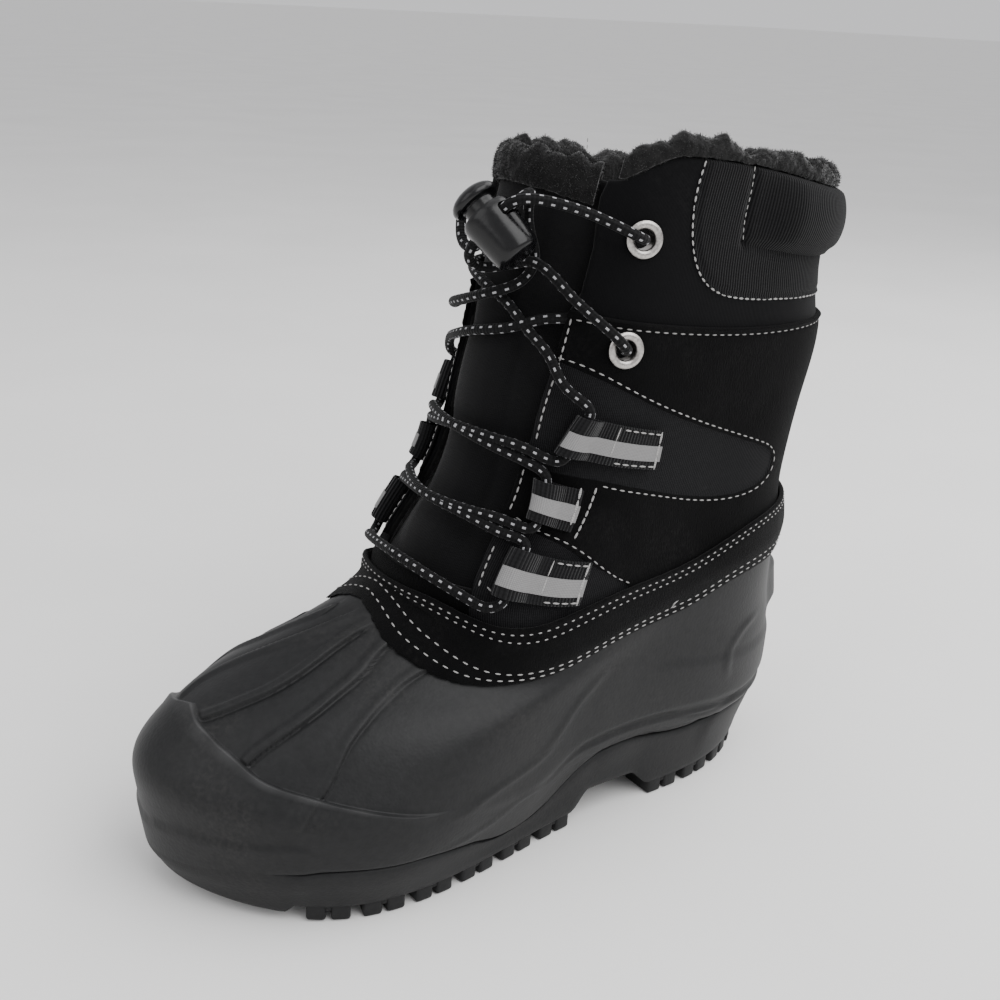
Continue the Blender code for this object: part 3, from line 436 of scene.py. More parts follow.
def makeNapGroup():
    # brushed suede: short fibres that lie one way, in patches that were stroked differently
    group, given, result = startGroup("suede nap", (("Fibre", 0.35), ("Patch", 14.0)), ("Height", "Tone"))
    where = put(group, "TexCoord").outputs["Object"]
    stretch = put(group, "Mapping")
    stretch.inputs["Scale"].default_value = (1.0, 1.0, 0.35)
    join(group, where, stretch.inputs["Vector"])
    fibreScale = sums(group, "DIVIDE", 1000.0, given["Fibre"])
    fibres = cloud(group, fibreScale, 6.0, stretch.outputs[0], Roughness=0.7)
    patches = cloud(group, sums(group, "DIVIDE", 1000.0, given["Patch"]), 3.0, where, Distortion=0.6)
    join(group, fibres, result["Height"])
    join(group, sums(group, "MULTIPLY_ADD", fibres, 0.45, patches), result["Tone"])
    return group


def makeRibsGroup():
    # woven ribs across the piece's own map, in millimetres of pitch
    group, given, result = startGroup("woven ribs", (("Pitch", 1.2), ("Cross Pitch", 0.7), ("Cross", 0.3)),
                                      ("Height", "Tone"))
    axes = mapAxes(group)
    turns = sums(group, "MULTIPLY", axes["X"], sums(group, "DIVIDE", wavePerMetre, given["Pitch"]))
    wave = sums(group, "SINE", turns)
    crossTurns = sums(group, "MULTIPLY", axes["Y"], sums(group, "DIVIDE", wavePerMetre, given["Cross Pitch"]))
    crossWave = sums(group, "MULTIPLY", sums(group, "SINE", crossTurns), given["Cross"])
    height = sums(group, "MULTIPLY_ADD", sums(group, "ADD", wave, crossWave), 0.5, 0.5)
    join(group, height, result["Height"])
    rise = sums(group, "MULTIPLY", height, 0.7)
    join(group, sums(group, "MULTIPLY_ADD", cloud(group, 900.0, 3.0), 0.5, rise), result["Tone"])
    return group


def makeTwistGroup():
    # plies that wind round a thread or a braid: the map runs along it in metres and round it from 0 to 1
    group, given, result = startGroup("twisted plies", (("Pitch", 3.0), ("Plies", 3.0)), ("Height",))
    axes = mapAxes(group)
    along = sums(group, "MULTIPLY", axes["X"], sums(group, "DIVIDE", wavePerMetre, given["Pitch"]))
    turned = sums(group, "MULTIPLY", axes["Y"], sums(group, "MULTIPLY", given["Plies"], 6.2832))
    first = sums(group, "SINE", sums(group, "ADD", along, turned))
    second = sums(group, "SINE", sums(group, "SUBTRACT", along, turned))
    plies = sums(group, "MULTIPLY", first, second)
    join(group, sums(group, "MULTIPLY_ADD", plies, 0.5, 0.5), result["Height"])
    return group


def makeDustGroup():
    # a little dry dust: soft patches of fine specks
    group, given, result = startGroup("shelf dust", (("Amount", 0.3), ("Patch", 30.0)), ("Mask",))
    where = put(group, "TexCoord").outputs["Object"]
    patches = cloud(group, sums(group, "DIVIDE", 1000.0, given["Patch"]), 8.0, where, Roughness=0.65)
    specks = cloud(group, 700.0, 2.0, where)
    mixed = sums(group, "MULTIPLY", between(group, patches, 0.48, 0.75), between(group, specks, 0.4, 0.8))
    join(group, sums(group, "MULTIPLY", mixed, given["Amount"], clamp=True), result["Mask"])
    return group


effects = dict(pebble=makePebbleGroup(), nap=makeNapGroup(), ribs=makeRibsGroup(), twist=makeTwistGroup(),
               dust=makeDustGroup())


def effect(tree, name, **values):
    made = tree.nodes.new("ShaderNodeGroup")
    made.node_tree = effects[name]
    for label, value in values.items():
        made.inputs[label.replace("_", " ")].default_value = value
    return made.outputs


def newFinish(name, roughness, **sockets):
    made = bpy.data.materials.new(name)
    made.use_nodes = True
    shader = made.node_tree.nodes["Principled BSDF"]
    shader.inputs["Roughness"].default_value = roughness
    for label, value in sockets.items():
        shader.inputs[label.replace("_", " ")].default_value = value
    return made, made.node_tree, shader


def bump(tree, shader, height, depth, strength=1.0):
    made = put(tree, "Bump", Strength=strength, Distance=depth / 1000)
    join(tree, height, made.inputs["Height"])
    join(tree, made.outputs[0], shader.inputs["Normal"])


def ramp(tree, value, low, high, start=0.0, end=1.0):
    # a colour between low and high as the value goes from start to end
    return blendColour(tree, between(tree, value, start, end), low, high)


def makeRubber(name, dark, light, roughness, grain, depth, dust):
    made, tree, shader = newFinish(name, roughness, Specular_IOR_Level=0.24)
    pebble = effect(tree, "pebble", Size=grain, Unevenness=0.5)
    base = ramp(tree, pebble["Tone"], dark, light, 0.3, 0.7)
    # painted highlight: a lighter colour along the cap edge's crest, from the shell's per-corner mask
    rubbed = put(tree, "Attribute", attribute_name="rubbed").outputs["Fac"]
    base = blendColour(tree, rubbed, base, (0.055, 0.055, 0.056))
    dusty = effect(tree, "dust", Amount=dust, Patch=34.0)["Mask"]
    join(tree, blendColour(tree, dusty, base, (0.07, 0.066, 0.062)), shader.inputs["Base Color"])
    join(tree, sums(tree, "MULTIPLY_ADD", dusty, 0.35, roughness), shader.inputs["Roughness"])
    bump(tree, shader, pebble["Height"], depth)
    return made


def suedeLayer(tree, dark, light):
    # base colour and height of brushed suede
    nap = effect(tree, "nap", Fibre=0.5, Patch=16.0)
    base = ramp(tree, nap["Tone"], dark, light, 0.45, 1.05)
    dusty = effect(tree, "dust", Amount=0.22, Patch=22.0)["Mask"]
    return blendColour(tree, dusty, base, (0.035, 0.034, 0.033)), sums(tree, "MULTIPLY", nap["Height"], 0.35)


def wovenLayer(tree, dark, light, pitch, cross, depth):
    # base colour and height of a ribbed weave
    ribs = effect(tree, "ribs", Pitch=pitch, Cross_Pitch=pitch * 0.8, Cross=cross)
    base = ramp(tree, ribs["Tone"], dark, light, 0.15, 1.0)
    dusty = effect(tree, "dust", Amount=0.12, Patch=26.0)["Mask"]
    return blendColour(tree, dusty, base, (0.04, 0.04, 0.04)), sums(tree, "MULTIPLY", ribs["Height"], depth)


def makeSuede(name, dark, light):
    made, tree, shader = newFinish(name, 0.95, Specular_IOR_Level=0.06, Sheen_Weight=0.05,
                                   Sheen_Roughness=0.5)
    base, height = suedeLayer(tree, dark, light)
    join(tree, base, shader.inputs["Base Color"])
    bump(tree, shader, height, 1.0)
    return made


def makeWoven(name, dark, light, pitch, cross, depth, roughness=0.8, sheen=0.3):
    made, tree, shader = newFinish(name, roughness, Specular_IOR_Level=0.12, Sheen_Weight=sheen,
                                   Sheen_Roughness=0.45)
    base, height = wovenLayer(tree, dark, light, pitch, cross, depth)
    join(tree, base, shader.inputs["Base Color"])
    bump(tree, shader, height, 1.0)
    return made


def makeTwoCloths(name, layers, attribute, edge, sheen):
    # two cloths on one piece: the second starts where the piece's own attribute, in mm, passes the edge
    made, tree, shader = newFinish(name, 0.9, Specular_IOR_Level=0.07, Sheen_Weight=sheen,
                                   Sheen_Roughness=0.45)
    (firstBase, firstHeight), (secondBase, secondHeight) = [layer(tree) for layer in layers]
    distance = put(tree, "Attribute", attribute_name=attribute).outputs["Fac"]
    share = between(tree, distance, edge - 0.12, edge + 0.12)
    join(tree, blendColour(tree, share, firstBase, secondBase), shader.inputs["Base Color"])
    rise = sums(tree, "SUBTRACT", secondHeight, firstHeight)
    bump(tree, shader, sums(tree, "MULTIPLY_ADD", share, rise, firstHeight), 1.0)
    return made


def makeFur(name, dark, light):
    made, tree, shader = newFinish(name, 0.85, Specular_IOR_Level=0.15, Sheen_Weight=0.3, Sheen_Roughness=0.4)
    clumps = cloud(tree, 420.0, 5.0)
    join(tree, ramp(tree, clumps, dark, light, 0.3, 0.75), shader.inputs["Base Color"])
    bump(tree, shader, clumps, 0.8)
    return made


def makeLaceFinish(name):
    # a black braid with a light fleck each few millimetres in two rows along it
    made, tree, shader = newFinish(name, 0.75, Specular_IOR_Level=0.12, Sheen_Weight=0.04)
    axes = mapAxes(tree)
    weave = effect(tree, "twist", Pitch=2.6, Plies=4.0)["Height"]
    flecks = []
    for axis, rate, half in (("X", 1000 / 3.7, 0.16), ("Y", 4.0, 0.14)):
        place = sums(tree, "FRACT", sums(tree, "MULTIPLY", axes[axis], rate))
        apart = sums(tree, "ABSOLUTE", sums(tree, "SUBTRACT", place, 0.5))
        flecks.append(sums(tree, "LESS_THAN", apart, half))
    white = sums(tree, "MULTIPLY", *flecks)
    base = ramp(tree, weave, (0.0012, 0.0012, 0.0014), (0.0050, 0.0050, 0.0055))
    join(tree, blendColour(tree, white, base, (0.30, 0.30, 0.31)), shader.inputs["Base Color"])
    bump(tree, shader, weave, 0.25)
    return made


def makeThread(name, colour):
    made, tree, shader = newFinish(name, 0.6, Specular_IOR_Level=0.3)
    weave = effect(tree, "twist", Pitch=1.1, Plies=1.0)["Height"]
    low = tuple(part * 0.55 for part in colour)
    join(tree, ramp(tree, weave, low, colour), shader.inputs["Base Color"])
    bump(tree, shader, weave, 0.12)
    return made


def makeMetal(name):
    made, tree, shader = newFinish(name, 0.32, Metallic=1.0)
    wear = cloud(tree, 1400.0, 4.0)
    base = ramp(tree, wear, (0.30, 0.285, 0.27), (0.50, 0.48, 0.46), 0.3, 0.7)
    join(tree, base, shader.inputs["Base Color"])
    join(tree, sums(tree, "MULTIPLY_ADD", wear, 0.25, 0.2), shader.inputs["Roughness"])
    return made


def makePlastic(name, colour, roughness):
    made, tree, shader = newFinish(name, roughness, Specular_IOR_Level=0.32)
    wear = cloud(tree, 900.0, 5.0)
    low = tuple(part * 0.8 for part in colour)
    join(tree, ramp(tree, wear, low, colour, 0.3, 0.7), shader.inputs["Base Color"])
    join(tree, sums(tree, "MULTIPLY_ADD", wear, 0.2, roughness - 0.1), shader.inputs["Roughness"])
    bump(tree, shader, wear, 0.04)
    return made


finishes = dict(
    shell=makeRubber("charcoal boot rubber", (0.0062, 0.0064, 0.0068), (0.0097, 0.0099, 0.0104),
                     0.5, 1.1, 0.05, 0.25),
    sole=makeRubber("charcoal sole rubber", (0.0062, 0.0064, 0.0068), (0.0094, 0.0095, 0.0100),
                    0.55, 0.9, 0.05, 0.3),
    suede=makeSuede("black suede", (0.0008, 0.0008, 0.0009), (0.0026, 0.0026, 0.0028)),
    quarter=makeTwoCloths(
        "black suede with twill inserts",
        (lambda tree: suedeLayer(tree, (0.0008, 0.0008, 0.0009), (0.0026, 0.0026, 0.0028)),
         # painted sheen: the twill is coloured lighter than the suede, since both cloths share one shader's
         # sheen
         lambda tree: wovenLayer(tree, (0.0036, 0.0036, 0.0040), (0.0128, 0.0128, 0.0136), 0.95, 0.2, 0.12)),
        "twillGap", 1.4, 0.02),
    leg=makeTwoCloths(
        "softshell with a ribbed cuff",
        (lambda tree: wovenLayer(tree, (0.0016, 0.0016, 0.0019), (0.0036, 0.0036, 0.0041), 0.7, 0.2, 0.05),
         lambda tree: wovenLayer(tree, (0.0020, 0.0020, 0.0022), (0.0084, 0.0084, 0.0090), 1.25, 0.15, 0.22)),
        "cuffGap", 0.0, 0.06),
    tongue=makeWoven("padded tongue cloth", (0.0013, 0.0013, 0.0015), (0.0036, 0.0036, 0.0041),
                     0.8, 0.6, 0.06, 0.8, 0.07),
    webbing=makeWoven("loop webbing", (0.0022, 0.0022, 0.0025), (0.0085, 0.0085, 0.0092),
                      1.1, 0.25, 0.25, 0.8, 0.1),
    strip=makeWoven("light reflective strip", (0.15, 0.148, 0.148), (0.23, 0.227, 0.227),
                    0.5, 0.8, 0.02, 0.45, 0.0),
    fur=makeFur("black pile", (0.0024, 0.0024, 0.0025), (0.0095, 0.0092, 0.0092)),
    lining=makeFur("fleece lining", (0.0035, 0.0035, 0.0035), (0.011, 0.0107, 0.0104)),
    felt=makeFur("insole felt", (0.010, 0.010, 0.011), (0.026, 0.025, 0.025)),
    lace=makeLaceFinish("black lace with light flecks"),
    thread=makeThread("light sewing thread", (0.40, 0.392, 0.385)),
    metal=makeMetal("gunmetal eyelet"),
    lock=makePlastic("black lock plastic", (0.0035, 0.0035, 0.004), 0.22),
)
print("winter boot: finishes made")


# camera, lights and floor
cameraSpot = dict(place=(0.2540, 0.34277, 0.273), yaw=36.2, pitch=20.5, roll=2.96, focal=47.7)


def addCamera():
    yaw, pitch, roll = (math.radians(cameraSpot[key]) for key in ("yaw", "pitch", "roll"))
    ahead = -Vector((math.sin(yaw) * math.cos(pitch), math.cos(yaw) * math.cos(pitch), math.sin(pitch)))
    right = ahead.cross(Vector((0, 0, 1))).normalized()
    up = right.cross(ahead)
    right, up = (math.cos(roll) * right + math.sin(roll) * up, -math.sin(roll) * right + math.cos(roll) * up)
    bpy.ops.object.camera_add(location=cameraSpot["place"])
    camera = bpy.context.object
    camera.name = "boot camera"
    camera.data.lens = cameraSpot["focal"]
    camera.data.sensor_width = 36.0
    camera.data.clip_start = 0.01
    camera.matrix_world = (Matrix.Translation(cameraSpot["place"])
                           @ Matrix((right, up, -ahead)).transposed().to_4x4())
    bpy.context.scene.camera = camera


lightSpots = dict(
    key=dict(place=(-0.30, 0.95, 1.10), size=1.2, power=17.5),
    front=dict(place=(0.95, 0.05, 0.70), size=0.9, power=3.5),
    rim=dict(place=(-0.90, 0.05, 0.85), size=1.0, power=7.0),
    top=dict(place=(-0.1, 0.1, 1.4), size=1.3, power=5.0))
lampAim = (0.0, 0.0, 0.09)
worldShade = dict(colour=(0.93, 0.93, 0.95), strength=0.85)
floorShade = dict(reach=60.0, dark=(0.84, 0.835, 0.825), light=(0.88, 0.875, 0.865))


def addStage():
    for name, light in lightSpots.items():
        bpy.ops.object.light_add(type="AREA", location=light["place"])
        lamp = bpy.context.object
        lamp.name = name + " softbox"
        lamp.data.size = light["size"]
        lamp.data.energy = light["power"]
        aim = Vector(lampAim) - Vector(light["place"])
        lamp.rotation_euler = aim.to_track_quat("-Z", "Y").to_euler()
    world = bpy.data.worlds.new("soft studio")
    world.use_nodes = True
    world.node_tree.nodes["Background"].inputs["Color"].default_value = (*worldShade["colour"], 1.0)
    world.node_tree.nodes["Background"].inputs["Strength"].default_value = worldShade["strength"]
    bpy.context.scene.world = world
    bpy.ops.mesh.primitive_plane_add(size=floorShade["reach"], location=(0, 0, 0))
    floor = bpy.context.object
    floor.name = "pale floor"
    made, tree, shader = newFinish("pale floor", 0.7, Specular_IOR_Level=0.2)
    join(tree, ramp(tree, cloud(tree, 6.0, 3.0), floorShade["dark"], floorShade["light"], 0.3, 0.7),
         shader.inputs["Base Color"])
    floor.data.materials.append(made)


addCamera()
addStage()
print("winter boot: camera, lights and floor placed")


# the shape of each part over the skin, all heights in mm
def smoothTable(rows, value):
    # a smooth curve through (place, value) rows
    rows = np.array(rows, float)
    return throughPlaces(rows[:, 0], rows[:, 1], np.clip(value, rows[0, 0], rows[-1, 0]))


def steps(count, radius, length, ends=(True, True)):
    # even shares from 0 to 1 with closer ones at rounded ends, where radius and length are in mm
    even = np.linspace(0, 1, count + 1)
    near = np.array((0.04, 0.16, 0.42, 0.75)) * radius / length
    inner = even[(even > 1.1 * radius / length) & (even < 1 - 1.1 * radius / length)]
    start = np.concatenate([[0.0], near]) if ends[0] else np.array([0.0])
    stop = np.concatenate([1 - near[::-1], [1.0]]) if ends[1] else np.array([1.0])
    return np.concatenate([start, inner, stop])


def rounding(share, radius, length, ends=(True, True)):
    # how full a rounded edge is at a share of the way across: 0 at the edge and 1 past its radius
    full = np.ones_like(share)
    for which, gap in zip(ends, (share, 1 - share)):
        if which:
            reach = np.clip(gap * length / radius, 0, 1)
            full = full * np.sqrt(1 - (1 - reach) ** 2)
    return full


def sheetSteps(form, upEnds=(True, True)):
    # shares across and up a sheet, closer at its rounded edges
    across, up = form["size"]
    return (steps(form["columns"], form["edgeRound"], across),
            steps(form["rows"], form["edgeRound"], up, upEnds))


def carried(s, level, height):
    # a point over the skin, carried straight up above the collar's level
    top = bootForm["collarLevel"]
    points = raised(s, np.minimum(level, top), height)
    points[..., 2] += np.maximum(0, level - top)
    return points


def wrapSheet(name, columns, rows, place, faces, radius=(0.0, 0.0), size=(1.0, 1.0), skip=1,
              roundEnds=((True, True), (True, True)), masks=None):
    # a closed sheet with a real thickness that lies on the boot.
    # place(u, w) gives s and level, faces(s, level) gives the outer and the inner height,
    # radius and size are the rounded edges and the sheet's own length in mm, across and up,
    # and the inner face keeps one row in each skip, and all of the few at either end
    across, up = len(columns), len(rows)
    ends = min(6, up)
    under = np.unique(np.concatenate([np.arange(0, up, skip), np.arange(ends), np.arange(up - ends, up)]))
    total = up + len(under)
    piece, _, column, at = addGrid(name, across - 1, total)
    u = columns[column]
    order = np.concatenate([np.arange(up), under[::-1], [0]])
    back = np.concatenate([np.zeros(up), np.ones(len(under)), [0]])
    w, inner = rows[order[at]], back[at] > 0.5
    s, level = place(u, w)
    outerHeight, innerHeight = faces(s, level)
    full = rounding(w, radius[1], size[1], roundEnds[1]) if radius[1] else 1.0
    if radius[0]:
        full = full * rounding(u, radius[0], size[0], roundEnds[0])
    middle = (outerHeight + innerHeight) / 2
    height = middle + (np.where(inner, innerHeight, outerHeight) - middle) * full
    setMask(piece, "lining", inner.astype(float))
    for key, values in (masks(s, level) if masks else {}).items():
        setMask(piece, key, values)
    shapeGrid(piece, s * bootForm["girth"] / 1000, level / 1000, carried(s, level, height))
    return piece


# moulded shell
shellForm = dict(
    top=89.6, wall=3.6, columns=(140, 310, 140), dense=(0.355, 0.645), rows=(32, 76), edgeShare=0.42,
    closeRows=(0.2, 0.7, 1.2),
    soleLine=((0.0, 6.0), (0.06, 8.5), (0.081, 10.0), (0.105, 10.7), (0.126, 13.0), (0.154, 16.4),
              (0.171, 18.0), (0.192, 18.2), (0.222, 12.8), (0.252, 7.5), (0.285, 11.3), (0.305, 15.6),
              (0.322, 16.1), (0.345, 14.5), (0.373, 14.8), (0.395, 18.0), (0.42, 19.5), (0.50, 20.0)),
    capEdge=((0.0, 58.9), (0.0085, 58.2), (0.0218, 56.7), (0.04, 55.0), (0.0537, 53.2), (0.0661, 51.4),
             (0.0768, 49.3), (0.087, 47.2), (0.1003, 45.5), (0.1158, 44.3), (0.1251, 43.5), (0.14, 42.2),
             (0.1565, 40.4), (0.1747, 38.1), (0.2004, 35.1), (0.26, 34.0), (0.50, 34.0)),
    capRise=1.5, capSoft=0.8, capSpan=(0.165, 0.21), lipRise=0.5, lipDrop=0.5, lipWidth=0.8,
    sweepTop=((0.0, 69.0), (0.262, 69.0), (0.2802, 68.6), (0.3112, 60.6), (0.3272, 54.2), (0.36, 49.0),
              (0.40, 46.0), (0.50, 45.0)),
    sweepRise=0.75, sweepSpan=(0.275, 0.30), sweepSoft=(-2, 4), footRound=1.5,
    hollow=dict(depth=0.9, span=(0.19, 0.25), levels=(24, 30)),
    sideBar=dict(rise=1.2, span=(0.26, 0.30), level=20.5, reach=(2, 4)),
    heelLedge=dict(rise=6.0, span=(0.018, 0.056), foot=(50, 54), head=(69, 76)),
    toeStepRise=0.8, toeStepSpan=(0.112, 0.126), toeStepSoft=1.1,
    toeStep=((0.0, 14.6), (0.0067, 15.1), (0.0453, 17.4), (0.0706, 17.2), (0.0887, 18.4), (0.106, 20.5),
             (0.1144, 21.5), (0.125, 19.0)),
    ribMiddle=((30.0, 0.503), (44.0, 0.507), (56.0, 0.5095), (66.0, 0.4990), (75.0, 0.4846), (82.0, 0.478)),
    ribs=(dict(rise=0.9, groove=0.35, width=2.1, pillow=0.45,
               route=((0.4817, 57.1), (0.4715, 60.6), (0.4649, 64.2), (0.4609, 67.5), (0.4622, 70.9),
                      (0.4667, 73.9), (0.4693, 76.2), (0.4705, 80.0))),
          dict(rise=0.9, groove=0.35, width=2.0, pillow=0.45,
               route=((0.4246, 50.4), (0.4219, 54.7), (0.4179, 59.9), (0.4179, 65.2), (0.4246, 69.8),
                      (0.4343, 73.7), (0.4458, 77.0), (0.4520, 80.0))),
          dict(rise=0.45, groove=0.42, width=1.6, pillow=0.25,
               route=((0.3847, 30.4), (0.3811, 37.6), (0.3763, 44.0), (0.3745, 53.7), (0.3789, 59.6),
                      (0.3842, 64.7), (0.3949, 69.8), (0.4055, 73.2), (0.4126, 75.7), (0.4190, 80.0)))),
    creases=(
        dict(route=((0.0798, 60.0), (0.100, 60.0), (0.1130, 55.0), (0.1197, 47.3), (0.1157, 35.0)),
             height=0.55, width=1.6),
        dict(route=((0.2160, 71.5), (0.2198, 69.1), (0.2238, 62.4), (0.2282, 53.2), (0.2384, 40.7),
                    (0.2624, 37.1), (0.2889, 31.5), (0.3124, 33.8)), height=0.75, width=1.8),
        dict(route=((0.2215, 62.0), (0.2255, 53.0), (0.2350, 41.6), (0.2600, 38.6), (0.2880, 33.6)),
             height=-0.35, width=1.0),
        dict(route=((0.1780, 25.5), (0.1666, 26.1), (0.1436, 22.5), (0.1166, 22.5), (0.1019, 25.1),
                    (0.0829, 26.1), (0.03, 26.4)), height=-0.6, width=0.9),
        dict(route=((0.2016, 18.2), (0.1875, 20.0), (0.1688, 17.4), (0.1476, 13.8), (0.1232, 16.2),
                    (0.1041, 19.7), (0.0798, 20.7), (0.03, 21.5)), height=-0.5, width=0.8),
        dict(route=((0.3111, 18.7), (0.2889, 18.4), (0.2699, 19.7), (0.2495, 26.4), (0.2242, 20.0),
                    (0.2065, 18.9)), height=0.45, width=1.1)))


def soleLine(s):
    return smoothTable(shellForm["soleLine"], fromToe(s))


def shellRelief(s, level):
    # what stands over the plain wall: toe cap and its lip, sweep, hollow, side bar, toe step and heel ledge
    form = shellForm
    toe = fromToe(s)
    edge = smoothTable(form["capEdge"], toe)
    front = 1 - soft(toe, *form["capSpan"])
    relief = form["capRise"] * front * (1 - soft(level, edge, edge + form["capSoft"]))
    relief += form["lipRise"] * front * bell(level - edge + form["lipDrop"], form["lipWidth"])
    sweep = np.interp(toe, *np.transpose(form["sweepTop"]))
    low, high = form["sweepSoft"]
    relief += form["sweepRise"] * soft(toe, *form["sweepSpan"]) * (1 - soft(level, sweep + low, sweep + high))
    hollow, bar, ledge = form["hollow"], form["sideBar"], form["heelLedge"]
    relief -= hollow["depth"] * soft(toe, *hollow["span"]) * (1 - soft(level, *hollow["levels"]))
    relief += soft(toe, *bar["span"]) * bar["rise"] * (1 - soft(np.abs(level - bar["level"]), *bar["reach"]))
    step = smoothTable(form["toeStep"], toe)
    relief += (form["toeStepRise"] * (1 - soft(toe, *form["toeStepSpan"]))
               * (1 - soft(level, step, step + form["toeStepSoft"])))
    back = 1 - soft(0.5 - toe, *ledge["span"])
    return relief + ledge["rise"] * (back * soft(level, *ledge["foot"]) * (1 - soft(level, *ledge["head"])))


def paintedHighlightShare(s, level):
    # painted highlight: the crest of the cap's edge is painted lighter, most of all near the ribs
    toe = fromToe(s)
    crest = bell(level - smoothTable(shellForm["capEdge"], toe) - 0.1, 0.38)
    return dict(rubbed=crest * (1 - soft(toe, 0.10, 0.20)) * (0.6 + 0.25 * np.cos(toe * 210)))


def ribRelief(s, level, rib, mirrored):
    # a rib with a sharp groove along its outer side: its route on one side, turned over on the other
    route = np.array(rib["route"], float)
    if mirrored:
        route[:, 0] = 2 * smoothTable(shellForm["ribMiddle"], route[:, 1]) - route[:, 0]
    line = smoothRow(route, 420)
    gap = distanceTo(skin(s, level), skin(line[:, 0], line[:, 1]))[0]
    on = np.interp(level, line[:, 1], line[:, 0])
    gap = np.where((s > on) != mirrored, gap, -gap)
    width = rib["width"]
    relief = rib["rise"] * soft(gap, -0.4, 0.6) * (1 - soft(gap, width, width + 2.4))
    relief -= rib["groove"] * bell(gap + 0.6, 0.7)
    relief -= rib["pillow"] * (1 - soft(gap, -0.5, 0.5)) * bell(gap, 3.4)
    edge = smoothTable(shellForm["capEdge"], fromToe(s)) if route[0, 1] > 45 else route[0, 1] + 0 * s
    return relief * soft(level, edge + 0.2, edge + 1.8) * (1 - soft(level, 77, 80))


def grooveDepth(s):
    # the groove between shell and sole: full along the sides and closed round the toe
    return soft(fromToe(s), 0.088, 0.118)


def makeShell():
    form = shellForm
    low, high = form["dense"]
    first, middle, last = form["columns"]
    columns = np.concatenate([np.linspace(0, low, first, endpoint=False),
                              np.linspace(low, high, middle, endpoint=False), np.linspace(high, 1, last + 1)])
    share = form["edgeShare"]
    close = np.array(form["closeRows"]) / 38.0
    rows = np.sort(np.concatenate([share * steps(form["rows"][0], 1.6, 34.0, (True, False)),
                                   share * (1 - close[:1]), share + (1 - share) * close,
                                   np.linspace(share, 1, form["rows"][1] + 1)[1:]]))

    def place(u, w):
        # one row of corners runs exactly along the toe cap's edge
        foot = soleLine(u) + 0.15 * grooveDepth(u)
        edge = smoothTable(form["capEdge"], fromToe(u))
        level = foot + w / share * (edge - foot)
        return u, np.where(w < share, level, edge + (w - share) / (1 - share) * (form["top"] - edge))

    def faces(s, level):
        outer = shellRelief(s, level)
        for mirrored in (False, True):
            for rib in form["ribs"]:
                near = (np.abs(s - rib["route"][3][0]) < 0.05) if not mirrored else (
                    np.abs(1 - s - rib["route"][3][0]) < 0.07)
                near &= (level > rib["route"][0][1] - 3) & (level < 81)
                outer[near] += ribRelief(s[near], level[near], rib, mirrored)
            for crease in form["creases"]:
                turn = 1 - s if mirrored else s
                places = np.array(crease["route"])
                near = (turn > places[:, 0].min() - 0.02) & (turn < places[:, 0].max() + 0.02)
                near &= (level > places[:, 1].min() - 6) & (level < places[:, 1].max() + 6)
                outer[near] += wrinkle(turn[near], level[near], crease)
        near = 1 - np.clip((level - soleLine(s)) / 1.6, 0, 1)
        outer -= grooveDepth(s) * form["footRound"] * (1 - np.sqrt(1 - near ** 2))
        return outer, np.full_like(outer, -form["wall"])

    piece = wrapSheet("bootShell", columns, rows, place, faces, masks=paintedHighlightShare, skip=4)
    finish(piece, finishes["shell"], slot="shell_rubber", smoothAngle=50)
    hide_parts("shell")


# outsole
soleForm = dict(
    columns=360, baseUnderside=5.0, archBreast=79.0, archFront=117.0, archLift=7.0, springStart=200.0,
    springRise=6.0, bumperStart=223.0, bumperUnderside=2.2, length=255.0,
    wall=((0.0, 0.9), (0.04, 0.3), (0.12, 0.0), (0.3, 0.0), (0.5, 0.0), (0.7, 0.0), (0.86, 0.05),
          (0.93, 0.25), (0.97, 0.7), (1.0, 1.6)),
    rimInset=6.0,
    lugLength=14.4, lugPitch=18.4, lugDepth=14.0, lugNotch=3.0, lugGap=0.8, lugSunk=1.4, lugRounding=1.05,
    lugSegments=3, lugInset=0.45, notchInset=0.9, notchShallow=0.5, foreLugs=6, heelLugs=4,
    middleLength=9.0,
    middleLugs=(dict(first=122.0, sweep=5.0, halves=(21.0, 21.0, 21.0, 21.0, 17.0, 17.0)),
                dict(first=38.0, sweep=4.0, halves=(13.0, 13.0))))


def toeSpring(x):
    start = soleForm["springStart"]
    return soleForm["springRise"] * np.clip((x - start) / (soleForm["length"] - start), 0, 1) ** 2


def underside(x):
    # the sole's underside between the lugs: the arch, the toe bumper and the toe spring
    form = soleForm
    breast, front, start = form["archBreast"], form["archFront"], form["bumperStart"]
    arch = soft(x, breast, breast + 9) * (1 - soft(x, front - 9, front))
    bumper = (form["bumperUnderside"] - form["baseUnderside"]) * soft(x, start, start + 3)
    return form["baseUnderside"] + bumper + form["archLift"] * arch + toeSpring(x)


def insetPoint(s, level, inset):
    # points of the surface moved level into the boot
    s, level = np.asarray(s, float), np.asarray(level, float)
    along = skin(s + 0.004, level) - skin(s - 0.004, level)
    inward = unit(np.stack([along[..., 1], -along[..., 0], along[..., 0] * 0], axis=-1))
    return skin(s, level) + np.asarray(inset, float)[..., None] * inward


